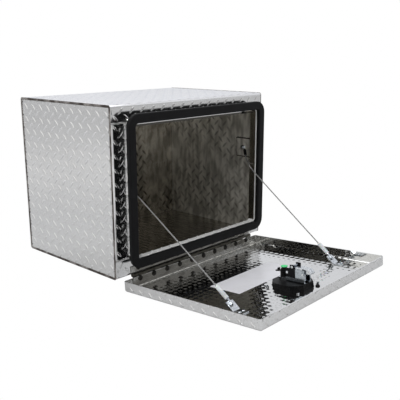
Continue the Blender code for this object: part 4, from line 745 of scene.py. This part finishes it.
def green_cap(tree, shader, place):
    """Green moulded cap over the key lock, paler at its rubbed edges."""
    grain = noise(tree, place, 240.0, 3.0)
    base = mix_colours(tree, grain, (0.020, 0.62, 0.17), (0.045, 0.80, 0.25))
    colour = tint(tree, wear_on(tree, 0.4, 600.0), 0.4, base, (0.40, 0.90, 0.50))
    set_shader(tree, shader, Base_Color=colour, Roughness=blend_values(tree, grain, 0.3, 0.5),
               Normal=bump(tree, grain, 0.0001, 0.4))


def card_film(tree, shader, place):
    """Glossy white self-adhesive card with nothing on it, its film a little uneven."""
    film = noise(tree, place, 60.0, 2.0)
    base = mix_colours(tree, film, (0.80, 0.80, 0.84), (0.88, 0.88, 0.91))
    colour = mix_colours(tree, grime_on(tree, 0.25, 30.0, 0.2), base, (0.62, 0.61, 0.62))
    set_shader(tree, shader, Base_Color=colour, Roughness=blend_values(tree, film, 0.25, 0.38),
               Normal=bump(tree, film, 0.0004, 0.3))


def finish(name, build, **settings):
    """A new material, built on its Principled shader and the place on the piece."""
    material = bpy.data.materials.new(name)
    material.use_nodes = True
    tree = material.node_tree
    shader = tree.nodes["Principled BSDF"]
    place = tree.nodes.new("ShaderNodeTexCoord").outputs["Object"]
    build(tree, shader, place, **settings)
    return material


FINISH = {
    "tread": finish("tread_plate_bright", tread_outside, gloss=(0.07, 0.15),
                    dark=(0.80, 0.80, 0.79), light=(0.88, 0.88, 0.87)),
    "wrapper": finish("tread_plate_wrapper", tread_outside, gloss=(0.08, 0.15),
                      dark=(0.90, 0.90, 0.88), light=(0.96, 0.96, 0.95), with_tongue=True),
    # the top is the same plate in darker, bluer colours: painted shade
    "top": finish("tread_plate_top", tread_outside, gloss=(0.30, 0.38),
                  dark=(0.74, 0.745, 0.77), light=(0.80, 0.805, 0.83)),
    # back and end walls are one plate: the back wall's darker colours are painted shade, the end walls'
    # lighter ones painted light from the opening
    "inside_back": finish("mill_side_back_wall", mill_inside, across="X", along="Z",
                          stretch_axes=(2.4, 1.0, 1.1), gloss=(0.12, 0.22), spotting=1.0,
                          dark=(0.358, 0.336, 0.297), light=(0.784, 0.745, 0.672)),
    "inside_end": finish("mill_side_end_wall", mill_inside, across="Y", along="Z",
                         stretch_axes=(1.0, 3.0, 0.9), gloss=(0.34, 0.48), spotting=0.55,
                         dark=(0.464, 0.441, 0.389), light=(0.99, 0.96, 0.87),
                         low_share=0.72, metallic=0.40),
    "inside_flat": finish("mill_side_floor_and_roof", mill_inside, across="X", along="Y",
                          stretch_axes=(4.0, 1.0, 1.0), gloss=(0.1, 0.2), spotting=0.45,
                          dark=(0.34, 0.32, 0.285), light=(0.60, 0.575, 0.52)),
    # painted highlight on the lip's inner faces, with painted shade on its sides behind
    "lip_inside": finish("lip_inner_faces", lip_inside),
    "door_inside": finish("mill_side_door_mirror", door_inside, quilting=0.0005),
    "door_rim": finish("mill_side_door_flanges", door_inside, quilting=0.00012),
    # painted highlight along the door's fold
    "fold": finish("door_fold_painted_highlight", rubbed_fold),
    "weld": finish("corner_weld_metal", weld_metal, dark=(0.085, 0.072, 0.064),
                   light=(0.46, 0.435, 0.415)),
    "seam_weld": finish("band_seam_weld_bright", weld_metal, dark=(0.62, 0.615, 0.60),
                        light=(0.95, 0.95, 0.94)),
    # soot on the weld toes, and painted shade round the cable anchors
    "soot_and_shade": finish("weld_toe_soot_and_painted_shade", scorched_metal),
    "rubber": finish("seal_rubber_black", seal_rubber),
    # hinge leaves and knuckles are dark as painted shade
    "hinge": finish("hinge_leaf_steel", hinge_steel),
    "knuckle": finish("hinge_knuckle_steel", knuckle_steel),
    "rivet": finish("rivet_dark_steel", rivet_steel),
    "zinc": finish("bright_zinc_plate", bright_zinc),
    "black": finish("latch_black_enamel", black_enamel),
    "bracket": finish("latch_bracket_part_black", bracket_plate),
    "cable": finish("stay_cable_strands", cable_strands),
    "sleeve": finish("cable_sleeve_pale", pale_sleeve),
    "green": finish("lock_cap_green", green_cap),
    "card": finish("blank_card_white", card_film),
}


# Finishes on the CAD pieces


def paint(node_name, finishes, choose=None):
    """A piece gets a finish, or each of its faces the one whose place in the list a function names."""
    mesh = NODES[node_name].data
    mesh.materials.clear()
    for name in finishes:
        mesh.materials.append(FINISH[name])
    for face in mesh.polygons if choose else ():
        face.material_index = choose(face.center, face.normal)


def faces_middle(centre, normal, middle):
    return normal.dot(middle - centre) > 0


def paint_all():
    """Every CAD piece gets the finish named as its material slot, and some get more by face."""
    for part in frame["record"]["subparts"]:
        paint(part["node"], [part["material_slot"]])
    body_middle = Vector((0, 0, BODY_HEIGHT / 2))
    door_middle = DOOR @ Vector((0, -DOOR_REACH / 2, 0))

    def wrapper_face(centre, normal):
        # the top face takes the darker copy of the plate, painted shade
        if normal.z > 0.9 and centre.z > BODY_HEIGHT - SHEET / 2:
            return 3
        deep = min(HALF_DEPTH - abs(centre.y), centre.z, BODY_HEIGHT - centre.z) > INNER_SIDE
        if not (deep and faces_middle(centre, normal, body_middle)):
            return 0
        return 1 if abs(normal.y) > abs(normal.z) else 2

    def lip_face(centre, normal):
        # the lip's inner faces take its painted highlight and painted shade
        inward = Vector((-centre.x, 0, BODY_HEIGHT / 2 - centre.z))
        return 1 if abs(normal.y) < 0.5 and normal.dot(inward) > 0 else 0

    def leaf_face(centre, normal):
        # faces round the pin take the knuckles' painted shade
        return 1 if math.hypot(centre.y - PIN_Y, centre.z) < KNUCKLE_REACH else 0

    def anchor_face(centre, normal):
        if abs(centre.x) < WALL_X - ANCHOR_FOOT:
            return 0
        # the plate's side faces by the wall get painted shade
        return 1 if abs(normal.x) < 0.5 else 2

    def end_face(centre, normal):
        deep = min(HALF_DEPTH - abs(centre.y), HALF_WIDTH - abs(centre.x)) > INNER_SIDE
        return 1 if deep and faces_middle(centre, normal, body_middle) else 0

    def pan_face(centre, normal):
        place = DOOR.inverted() @ centre
        on_rim, at_hinge = place.z > DOOR_RIM_Z - SHEET / 2, place.y > -HINGE_FLANGE_REACH
        # the rim's strip at the hinge gets the knuckles' painted shade
        if on_rim and place.y > -HINGE_FLANGE_REACH / 2:
            return 4
        if on_rim or not faces_middle(centre, normal, door_middle):
            return 0
        upward = normal.dot(along_door(0, 0, 1))
        # the fold's upward-leaning faces get the painted highlight
        if at_hinge and FOLD_LEAN[0] < upward < FOLD_LEAN[1]:
            return 5
        if upward > 0.7:
            return 1
        # the hinge flange's faces that point away take the leaf's painted shade
        return 3 if at_hinge and normal.dot(along_door(0, -1, 0)) > 0.5 else 2

    def paddle_face(centre, normal):
        return 1 if (DOOR.inverted() @ centre).z > PADDLE_BRIGHT_Z else 0

    paint("body_wrapper", ("wrapper", "inside_back", "inside_flat", "top"), wrapper_face)
    paint("opening_lip", ("tread", "lip_inside"), lip_face)
    paint("hinge_box_leaf", ("hinge", "knuckle"), leaf_face)
    paint("hinge_door_leaf", ("hinge", "knuckle"), leaf_face)
    paint("hinge_pin", ["knuckle"])
    paint("latch_bracket", ["bracket"])
    for number in range(1, 5):
        paint("dish_screw_" + str(number), ["black"])
    paint("latch_paddle", ("black", "zinc"), paddle_face)
    for side in ("left", "right"):
        paint(side + "_end_panel", ("tread", "inside_end"), end_face)
        paint(side + "_cable_anchor", ("zinc", "soot_and_shade", "inside_end"), anchor_face)
    paint("door_pan", ("tread", "door_inside", "door_rim", "hinge", "knuckle", "fold"), pan_face)


# Tread bars


def bar_outline():
    """A bar seen from above: a lens with pointed ends, as pairs of shares of its length and width."""
    points = []
    for index in range(BAR_POINTS):
        angle = math.tau * index / BAR_POINTS
        along = math.cos(angle)
        across = math.sin(angle) * abs(math.sin(angle)) ** 0.35
        points.append((along / 2, across / 2))
    return points


def clamp(value, low, high):
    return min(max(value, low), high)


def tread_bars(
    name, body, origin, across, along, size, look="tread", bar_height=BAR_HEIGHT, hole=None
):
    """Crossed raised bars over a rectangle of plate; bars at its edges are cut where it ends.

    The origin is the rectangle's low corner, across and along its directions, and the bars stand
    up on the side of across x along. The look is a finish's name, and a hole is a rectangle
    (low, high, low, high) that is left bare.
    """
    across, along = Vector(across).normalized(), Vector(along).normalized()
    outward = across.cross(along)
    outline = bar_outline()
    rings = ((1.0, 1.0, -0.00005), (0.94, 0.80, bar_height * 0.4), (0.84, 0.34, bar_height * 0.92),
             (0.74, 0.10, bar_height))
    verts, faces = [], []
    shift = (rng.uniform(0, BAR_PITCH), rng.uniform(0, BAR_PITCH))
    counts = [int(side / BAR_PITCH) + 3 for side in size]
    overhang = BAR_LENGTH / 4
    for i in range(-1, counts[0]):
        for j in range(-1, counts[1]):
            for half_step, turn in ((0, 1), (0.5, -1)):
                u0 = (i + half_step) * BAR_PITCH + shift[0]
                v0 = (j + half_step) * BAR_PITCH + shift[1]
                if not all(-overhang < place < side + overhang for place, side in zip((u0, v0), size)):
                    continue
                if hole and hole[0] < u0 < hole[1] and hole[2] < v0 < hole[3]:
                    continue
                angle = turn * math.pi / 4 + rng.uniform(-BAR_TURN, BAR_TURN)
                cosine, sine = math.cos(angle), math.sin(angle)
                start = len(verts)
                for long_share, wide_share, height in rings:
                    for x_share, y_share in outline:
                        x = x_share * BAR_LENGTH * long_share
                        y = y_share * BAR_WIDTH * wide_share
                        u = clamp(u0 + x * cosine - y * sine, BAR_MARGIN, size[0] - BAR_MARGIN)
                        v = clamp(v0 + x * sine + y * cosine, BAR_MARGIN, size[1] - BAR_MARGIN)
                        place = Vector(origin) + across * u + along * v + outward * height
                        # no bar stands past the front of the CAD box
                        place.y = max(place.y, CAD_BOX[0].y)
                        verts.append(place)
                for ring in range(len(rings) - 1):
                    for index in range(BAR_POINTS):
                        following = (index + 1) % BAR_POINTS
                        low = start + ring * BAR_POINTS
                        high = low + BAR_POINTS
                        faces.append((low + index, low + following, high + following, high + index))
                top = start + (len(rings) - 1) * BAR_POINTS
                faces.append(tuple(range(top, top + BAR_POINTS)))
    mesh = bpy.data.meshes.new(name)
    mesh.from_pydata([tuple(v) for v in verts], [], faces)
    mesh.shade_smooth()
    mesh.materials.append(FINISH[look])
    piece = add_object(name, mesh)
    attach(piece, body)


def make_body_tread():
    """Bars on each face of the body, its front bands, and the opening lip."""
    x, y = HALF_WIDTH - WRAPPER_LAP, HALF_DEPTH - BEND_REACH
    wide, deep = 2 * x, 2 * y
    high, side_high = BODY_HEIGHT - 2 * BEND_REACH, BODY_HEIGHT - 2 * WELD_REACH
    front, lip_start = -HALF_DEPTH, -HALF_DEPTH - LIP_STEP
    right, rear, up = (1, 0, 0), (0, 1, 0), (0, 0, 1)
    low_bars = ("tread", LOW_BAR_HEIGHT)
    plates = [
        ("left_end", (-HALF_WIDTH, y, WELD_REACH), (0, -1, 0), up, (deep, side_high)),
        ("right_end", (HALF_WIDTH, -y, WELD_REACH), rear, up, (deep, side_high)),
        ("top", (-x, -y, BODY_HEIGHT), right, rear, (wide, deep), "top", LOW_BAR_HEIGHT),
        ("bottom", (-x, y, 0), right, (0, -1, 0), (wide, deep), "wrapper"),
        ("back", (x, HALF_DEPTH, BEND_REACH), (-1, 0, 0), up, (wide, high), "wrapper"),
        ("top_band", (-x, front, TOP_BAND_Z), right, up, (wide, TOP_BAND_HIGH), "wrapper"),
    ]
    for name, start in (("left", LEFT_BAND_X), ("right", RIGHT_BAND_X)):
        plates += [
            (name + "_band", (start, front, BAND_Z), right, up, (BAND_WIDE, BAND_HIGH), *low_bars),
            (name + "_foot", (start, front, BEND_REACH), right, up, (BAND_WIDE, FOOT_HIGH)),
        ]
    lip_end = lip_start - LIP_DEPTH
    lip_side = (LIP_DEPTH, LIP_HIGH)
    plates += [
        ("left_lip", (-LIP_HALF_WIDTH, lip_start, LIP_Z), (0, -1, 0), up, lip_side, *low_bars),
        ("right_lip", (LIP_HALF_WIDTH, lip_end, LIP_Z), rear, up, lip_side, *low_bars),
        ("top_lip", (-TOP_LIP_HALF_WIDTH, lip_end, LIP_TOP_Z), right, rear,
         (2 * TOP_LIP_HALF_WIDTH, LIP_DEPTH)),
        # the bottom lip's bars carry the lip's painted highlight
        ("bottom_lip", (-LOW_LIP_HALF_WIDTH, lip_start - LOW_LIP_REACH, MOUTH_BOTTOM), right, rear,
         (2 * LOW_LIP_HALF_WIDTH, LOW_LIP_DEPTH), "lip_inside", LIP_BAR_HEIGHT),
    ]
    for name, *rest in plates:
        tread_bars(name + "_tread", "box", *rest)


def make_door_tread():
    """Bars on the door's outer face, with the latch's place left bare, and on three flanges."""
    x, end = DOOR_HALF_WIDTH - BEND_REACH, DOOR_REACH - BEND_REACH
    low = DOOR_OUTER_Z + BEND_REACH
    latch_y = LATCH_REACH - HINGE_BARE
    latch = (x - LATCH_BARE, x + LATCH_BARE, latch_y - LATCH_BARE, latch_y + LATCH_BARE)
    right, away, up = along_door(1, 0, 0), along_door(0, -1, 0), along_door(0, 0, 1)
    face, side = (2 * x, end - HINGE_BARE), (end - BEND_REACH, DOOR_RIM_Z - low)
    plates = (
        ("face", (-x, -HINGE_BARE, DOOR_OUTER_Z), right, away, face, "tread", BAR_HEIGHT, latch),
        ("left", (-DOOR_HALF_WIDTH, -BEND_REACH, low), away, up, side),
        ("right", (DOOR_HALF_WIDTH, -end, low), -away, up, side),
        ("edge", (-x, -DOOR_REACH, low), right, up, (2 * x, DOOR_RIM_Z - low)),
    )
    for name, corner, *rest in plates:
        tread_bars("door_" + name + "_tread", "door", on_door(*corner), *rest)


# Weld beads


def rounded_frame(half_wide, half_high, radius, centre, step):
    """Points and outward directions round a rectangle with round corners, at an even step."""
    wide, high = half_wide - radius, half_high - radius
    middles = [
        (centre[0] + sign_wide * wide, centre[1] + sign_high * high)
        for sign_wide, sign_high in ((1, 1), (-1, 1), (-1, -1), (1, -1))
    ]
    line = []
    for quarter, (x, y) in enumerate(middles):
        count = max(3, round(radius * math.pi / 2 / step))
        for index in range(count + 1):
            angle = math.pi / 2 * (quarter + index / count)
            outward = (math.cos(angle), math.sin(angle))
            line.append(((x + radius * outward[0], y + radius * outward[1]), outward))
        x, y = line[-1][0]
        far = [a + radius * b for a, b in zip(middles[(quarter + 1) % 4], outward)]
        count = round(math.dist((x, y), far) / step)
        for share in (index / count for index in range(1, count)):
            line.append(((x + (far[0] - x) * share, y + (far[1] - y) * share), outward))
    return line


def skin(bm, rings, around=True, closed=False):
    """Faces between neighbouring rings of corners.

    Around joins each ring's last corner to its first, and closed joins the last ring to the first.
    """
    for index in range(len(rings) - (not closed)):
        low, high = rings[index], rings[(index + 1) % len(rings)]
        for k in range(len(low) - (not around)):
            following = (k + 1) % len(low)
            bm.faces.new((low[k], low[following], high[following], high[k]))


def make_corner_weld(side_name, side):
    """A hand-laid bead along the end panel's edge: overlapping ripples of uneven width."""
    line = rounded_frame(HALF_DEPTH, BODY_HEIGHT / 2, BEAD_CORNER, (0, BODY_HEIGHT / 2), BEAD_STEP)
    bm = bmesh.new()
    rings = []
    travelled, last, wander = 0.0, line[0][0], 0.0
    for (y, z), outward in line:
        travelled += math.dist((y, z), last)
        last = (y, z)
        wander = wander * 0.96 + rng.uniform(-0.02, 0.02)
        swell = math.sin(math.pi * (travelled / BEAD_RIPPLE % 1))
        fullness = clamp(0.62 + 0.38 * swell ** 0.6 + wander * 0.3, 0.5, 1.0)
        width = BEAD_REACH * (0.85 + 0.3 * wander + 0.12 * swell)
        section = []
        for index in range(BEAD_SECTION + 1):
            angle = math.pi / 2 * index / BEAD_SECTION
            across = math.cos(angle) ** 0.55 if index < BEAD_SECTION else 0.0
            rise = BEAD_LOW + (BEAD_PROUD - BEAD_LOW) * fullness * math.sin(angle) ** 0.55
            section.append((width - (width + BEAD_PROUD * fullness) * across, rise))
        section.append((width + BEAD_TOE, BEAD_LOW))
        rings.append([
            bm.verts.new((side * (HALF_WIDTH + rise), y - outward[0] * inset, z - outward[1] * inset))
            for inset, rise in section
        ])
    skin(bm, rings, closed=True)
    # the soot's stripes wander over the bead, as their repeat is one face less than the bead's
    for index, face in enumerate(bm.faces):
        face.material_index = 1 if index % (BEAD_SECTION + 1) in (0, BEAD_SECTION) else 0
    bead = add_mesh(side_name + "_weld_ripples", bm, FINISH["weld"], "box", 50)
    bead.data.materials.append(FINISH["soot_and_shade"])
    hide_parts(side_name + "_corner_weld")


def make_seam_bead(name, side, height):
    """Short lumpy bead that closes the seam across the end panel's front band."""
    bm = bmesh.new()
    rings = []
    for index in range(round((HALF_WIDTH - SEAM_END_X) / SEAM_STEP)):
        x = side * (HALF_WIDTH - SEAM_START - index * SEAM_STEP)
        swell = math.sin(math.pi * (index * SEAM_STEP / SEAM_RIPPLE % 1))
        fullness = 0.7 + 0.3 * swell + rng.uniform(-0.06, 0.0)
        middle = height + SEAM_WAVE * math.sin(index * 0.23)
        ring = []
        for k in range(BEAD_SECTION + 1):
            angle = math.pi * k / BEAD_SECTION
            proud = SEAM_PROUD * fullness * math.sin(angle)
            spread = SEAM_REACH * fullness * math.cos(angle)
            ring.append(bm.verts.new((x, -HALF_DEPTH - proud, middle + spread)))
        rings.append(ring)
    skin(bm, rings, around=False)
    bead = add_mesh(name, bm, FINISH["seam_weld"], "box", 50)


def make_anchor_weld(side_name, side):
    """Fillet round the cable anchor's plate, where it is welded to the end wall, dark as painted shade
    round the plate.
    """
    low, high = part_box(side_name + "_cable_anchor")
    half_wide, half_high = (high.y - low.y) / 2, (high.z - low.z) / 2
    centre = ((high.y + low.y) / 2, (high.z + low.z) / 2)
    bm = bmesh.new()
    rings = []
    line = rounded_frame(half_wide, half_high, ANCHOR_WELD_CORNER, centre, ANCHOR_WELD_STEP)
    for (y, z), outward in line:
        spread = ANCHOR_WELD_WIDTH * rng.uniform(0.7, 1.0)
        rise = ANCHOR_WELD_RISE * rng.uniform(0.8, 1.0)
        section = (
            (-0.0002, rise), (spread * 0.35, rise * 0.75), (spread * 0.75, rise * 0.35), (spread, 0.0001),
        )
        rings.append([
            bm.verts.new((side * (WALL_X - up), y + outward[0] * out, z + outward[1] * out))
            for out, up in section
        ])
    skin(bm, rings, around=False, closed=True)
    bead = add_mesh(side_name + "_anchor_weld", bm, FINISH["soot_and_shade"], "box", 50)


# Rivets


def lathe(bm, profile, matrix, steps):
    """Turn (radius, height) pairs round local Z; points on the axis close the ends."""
    rings = []
    for radius, height in profile:
        angles = [math.tau * index / steps for index in range(steps if radius else 1)]
        places = [(radius * math.cos(angle), radius * math.sin(angle), height) for angle in angles]
        rings.append([bm.verts.new(matrix @ Vector(place)) for place in places])
    for low, high in zip(rings, rings[1:]):
        for index in range(steps):
            following = (index + 1) % steps
            corners = (low[index % len(low)], low[following % len(low)],
                       high[following % len(high)], high[index % len(high)])
            unique = list(dict.fromkeys(corners))
            if len(unique) > 2:
                bm.faces.new(unique)


def make_bolt_spring():
    """The bolt's coil spring between the bracket's tab and the bolt's lug, as a fixed copy of the CAD
    piece.
    """
    spring = add_object("bolt_coil_spring", NODES["bolt_spring"].data.copy())
    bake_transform(spring)
    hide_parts("bolt_spring")


def make_latch_details():
    """The lock's green cap on its neck, the cam's turned end and the door's low rubber bumper."""
    bm = bmesh.new()
    lathe(bm, CAP_PROFILE, DOOR @ Matrix.Translation((*CAP_PLACE, 0)), 32)
    for face in bm.faces:
        local = DOOR.inverted() @ face.calc_center_median()
        face.material_index = 1 if local.z < CAP_NECK_TOP else 0
    piece = add_mesh("green_lock_cap", bm, FINISH["green"], "lock_core", 40)
    piece.data.materials.append(FINISH["black"])
    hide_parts("lock_cap")

    bm = bmesh.new()
    lathe(bm, BUMPER_PROFILE, DOOR @ Matrix.Translation((*BUMPER_PLACE, DOOR_SKIN_Z)), 24)
    piece = add_mesh("door_bumper_dome", bm, FINISH["rubber"], "door", 40)
    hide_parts("door_bumper")

    bm = bmesh.new()
    size = Matrix.Diagonal((*CAM_SIZE, 1))
    bmesh.ops.create_cube(bm, size=1, matrix=DOOR @ Matrix.Translation(CAM_TIP) @ size)
    bmesh.ops.bevel(bm, geom=bm.edges[:], offset=CAM_ROUNDING, segments=2, affect="EDGES")
    piece = add_mesh("cam_turned_end", bm, FINISH["black"], "lock_core", 30)


def make_hinge_rivets():
    """Blind rivet heads over both hinge leaves, each with its mandrel's dimple."""
    facing = Matrix.Rotation(math.pi / 2, 4, "X")
    rows = (
        ("door", DOOR @ Matrix.Translation((0, -KNUCKLE_RADIUS, -DOOR_RIVET_REACH))),
        ("box", Matrix.Translation((0, BOX_LEAF_FRONT, BOX_RIVET_REACH))),
    )
    for body, row in rows:
        bm = bmesh.new()
        for index in range(RIVET_COUNT):
            along = Matrix.Translation(((index - (RIVET_COUNT - 1) / 2) * RIVET_PITCH, 0, 0))
            turn = Matrix.Rotation(rng.uniform(0, 1), 4, "Z")
            lathe(bm, RIVET_PROFILE, row @ along @ facing @ turn, 20)
        heads = add_mesh(body + "_leaf_rivet_heads", bm, FINISH["rivet"], body, 50)


# Stay cables


def smooth_route(points, leaving, arriving, step):
    """Even points along a smooth line through the given ones, with set directions at its ends."""
    line = []
    for index in range(len(points) - 1):
        near, far = points[index], points[index + 1]
        span = (far - near).length
        leave = leaving * span
        if index > 0:
            leave = (far - points[index - 1]).normalized() * span
        arrive = arriving * span
        if index + 2 < len(points):
            arrive = (points[index + 2] - near).normalized() * span
        count = max(1, round(span / step))
        for part in range(count):
            t = part / count
            line.append(
                near * (2 * t**3 - 3 * t**2 + 1) + leave * (t**3 - 2 * t**2 + t)
                + far * (3 * t**2 - 2 * t**3) + arrive * (t**3 - t**2)
            )
    return line + [points[-1]]


def route_frames(line):
    """A point, a side and an up direction at every point of a line, with no sudden twist."""
    frames = []
    side = Vector((0, 0, 1)).cross((line[1] - line[0]).normalized()).normalized()
    for index, point in enumerate(line):
        ahead = line[min(index + 1, len(line) - 1)] - line[max(index - 1, 0)]
        ahead.normalize()
        side = (side - ahead * side.dot(ahead)).normalized()
        frames.append((point, side, ahead.cross(side)))
    return frames


def make_stay_cable(side_name, side):
    """A rope of one core and six laid strands from lug to lug, following the real route."""
    def mirrored(x, y, z):
        return Vector((side * x, y, z))

    upper = [mirrored(*UPPER_CABLE_END), mirrored(*UPPER_SLEEVE_MOUTH)]
    lower = [mirrored(*LOWER_SLEEVE_MOUTH), mirrored(*LOWER_CABLE_END)]
    middle = [
        mirrored(WALL_X - inward, ANCHOR_Y - forward, ANCHOR_Z - down)
        for inward, forward, down in CABLE_ROUTE
    ]
    leaving, arriving = ((end - start).normalized() for start, end in (upper, lower))
    start_count, end_count = (max(2, round((b - a).length / CABLE_STEP)) for a, b in (upper, lower))
    line = [upper[0].lerp(upper[1], k / start_count) for k in range(start_count)]
    line += smooth_route([upper[1]] + middle + [lower[0]], leaving, arriving, CABLE_STEP)
    line += [lower[0].lerp(lower[1], k / end_count) for k in range(1, end_count + 1)]
    bm = bmesh.new()
    strands = [(STRAND_REACH, math.tau * index / 6, STRAND_RADIUS, 6) for index in range(6)]
    for reach, start, radius, points in [(0.0, 0.0, CORE_RADIUS, 8)] + strands:
        rings = []
        travelled, last = 0.0, line[0]
        for point, across, up in route_frames(line):
            travelled += (point - last).length
            last = point
            turn = start + math.tau * travelled / CABLE_LAY
            centre = point + (across * math.cos(turn) + up * math.sin(turn)) * reach
            angles = [turn + math.tau * k / points for k in range(points)]
            rings.append([
                bm.verts.new(centre + (across * math.cos(angle) + up * math.sin(angle)) * radius)
                for angle in angles
            ])
        bm.faces.new(rings[0][::-1])
        skin(bm, rings)
        bm.faces.new(rings[-1])
    cable = add_mesh(side_name + "_stay_rope", bm, FINISH["cable"], None, 60)
    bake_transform(cable)
    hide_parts(side_name + "_stay_cable")


# Card


def make_blank_card():
    """Thin white card with round corners on the door's inner skin; it carries nothing."""
    half_wide, half_deep = (CARD_RIGHT - CARD_LEFT) / 2, (CARD_FAR - CARD_NEAR) / 2
    centre = (half_wide + CARD_LEFT, -(CARD_NEAR + CARD_FAR) / 2)
    outline = rounded_frame(half_wide, half_deep, CARD_CORNER, centre, CARD_STEP)
    bm = bmesh.new()
    rings = [
        [bm.verts.new(on_door(x, y, DOOR_SKIN_Z + height)) for (x, y), _ in outline]
        for height in CARD_HEIGHTS
    ]
    bm.faces.new(rings[1])
    skin(bm, rings)
    add_mesh("blank_card", bm, FINISH["card"], "door", 30)


# Surroundings


def white_to_camera(tree, shader, share):
    """The camera itself sees pure white over the given share of the surface."""
    path = tree.nodes.new("ShaderNodeLightPath")
    glow = add_node(tree, "ShaderNodeEmission", {"Color": (1, 1, 1, 1), "Strength": 1.0})
    seen = multiply(tree, path.outputs["Is Camera Ray"], share)
    mixer = add_node(tree, "ShaderNodeMixShader", (seen, shader.outputs[0], glow.outputs[0]))
    link(tree, mixer.outputs[0], tree.nodes["Material Output"].inputs["Surface"])


def plinth_grey(tree, shader, place):
    """The block under the box: dark grey behind the hinge as painted shade under the box, and pure white
    to the camera elsewhere.
    """
    set_shader(tree, shader, Base_Color=(*PLINTH_SHADE, 1), Roughness=0.9)
    axes = axes_of(tree, place)
    beside_hinge = below(tree, axes["X"], PLINTH_DARK_FROM)
    front = PLINTH_INSET + PLINTH_BACK - HALF_DEPTH
    off_front = above(tree, axes["Y"], front + 0.001)
    white_to_camera(tree, shader, math_node(tree, "MAXIMUM", beside_hinge, off_front))


def pale_floor(tree, shader, place):
    """Matt pale floor, darker near the box as painted shade and paler further out as painted light; the
    camera itself sees pure white.
    """
    distance = add_node(tree, "ShaderNodeVectorMath", (place,), operation="LENGTH").outputs["Value"]
    colour = mix_colours(tree, stretch(tree, distance, *FLOOR_FADE), FLOOR_NEAR_SHADE, FLOOR_FAR_SHADE)
    set_shader(tree, shader, Base_Color=colour, Roughness=0.9)
    white_to_camera(tree, shader, 1.0)


def make_studio():
    """Pale floor, a plinth dark as painted shade under the box, a pale surround, and soft lamps from the
    upper left.
    """
    bm = bmesh.new()
    low = Matrix.Translation((0, 0, FLOOR_Z))
    bmesh.ops.create_grid(bm, x_segments=1, y_segments=1, size=FLOOR_HALF_SIZE, matrix=low)
    floor = add_mesh("studio_floor", bm, finish("studio_floor_pale", pale_floor), None)
    bm = bmesh.new()
    size = (2 * (HALF_WIDTH - PLINTH_INSET), 2 * (HALF_DEPTH - PLINTH_INSET), -FLOOR_Z - PLINTH_GAP)
    middle = Matrix.Translation((0, PLINTH_BACK, (FLOOR_Z - PLINTH_GAP) / 2))
    bmesh.ops.create_cube(bm, size=1, matrix=middle @ Matrix.Diagonal((*size, 1)))
    plinth = add_mesh("studio_plinth", bm, finish("studio_plinth_painted_shade", plinth_grey), None)

    world = bpy.data.worlds.new("studio_surround")
    bpy.context.scene.world = world
    world.use_nodes = True
    tree = world.node_tree
    path = tree.nodes.new("ShaderNodeLightPath")
    direction = tree.nodes.new("ShaderNodeTexCoord").outputs["Generated"]
    lit = stretch(tree, dot_product(tree, direction, BACKDROP_AIM), *BACKDROP_SPREAD)
    room = mix_colours(tree, lit, ROOM_SHADE, BACKDROP_SHADE)
    beside = stretch(tree, dot_product(tree, direction, SIDE_CARD_AIM), *SIDE_CARD_SPREAD)
    surround = mix_colours(tree, beside, room, SIDE_CARD_SHADE)
    shade = mix_colours(tree, path.outputs["Is Camera Ray"], surround, (1, 1, 1))
    link(tree, shade, tree.nodes["Background"].inputs["Color"])
    tree.nodes["Background"].inputs["Strength"].default_value = 1.0

    for name, place, target, size, power in LAMPS:
        light = bpy.data.lights.new(name, "AREA")
        light.shape = "RECTANGLE"
        light.size, light.size_y = size
        light.energy = power
        lamp = add_object(name, light)
        lamp.location = place
        lamp.rotation_euler = (Vector(target) - Vector(place)).to_track_quat("-Z", "Y").to_euler()


def make_camera():
    data = bpy.data.cameras.new("photo_camera")
    data.sensor_width = SENSOR_WIDTH
    data.lens = CAMERA_FOCAL_PIXELS * SENSOR_WIDTH / PICTURE_PIXELS
    camera = add_object("photo_camera", data)
    forward = Vector((
        math.sin(CAMERA_YAW) * math.cos(CAMERA_PITCH), math.cos(CAMERA_YAW) * math.cos(CAMERA_PITCH),
        math.sin(CAMERA_PITCH),
    ))
    level = Vector((math.cos(CAMERA_YAW), -math.sin(CAMERA_YAW), 0))
    rise = level.cross(forward)
    right = level * math.cos(CAMERA_ROLL) + rise * math.sin(CAMERA_ROLL)
    up = right.cross(forward)
    turn = Matrix((right, up, -forward)).transposed().to_4x4()
    camera.matrix_world = Matrix.Translation(CAMERA_PLACE) @ turn
    bpy.context.scene.camera = camera


paint_all()
make_body_tread()
make_door_tread()
for side_name, side in (("left", -1), ("right", 1)):
    make_corner_weld(side_name, side)
    make_stay_cable(side_name, side)
    make_seam_bead(side_name + "_upper_seam_bead", side, SEAM_TOP_Z)
    make_seam_bead(side_name + "_lower_seam_bead", side, MOUTH_BOTTOM)
    make_anchor_weld(side_name, side)
make_hinge_rivets()
make_latch_details()
make_bolt_spring()
make_blank_card()
make_studio()
make_camera()
bpy.context.scene.view_settings.view_transform = "Standard"
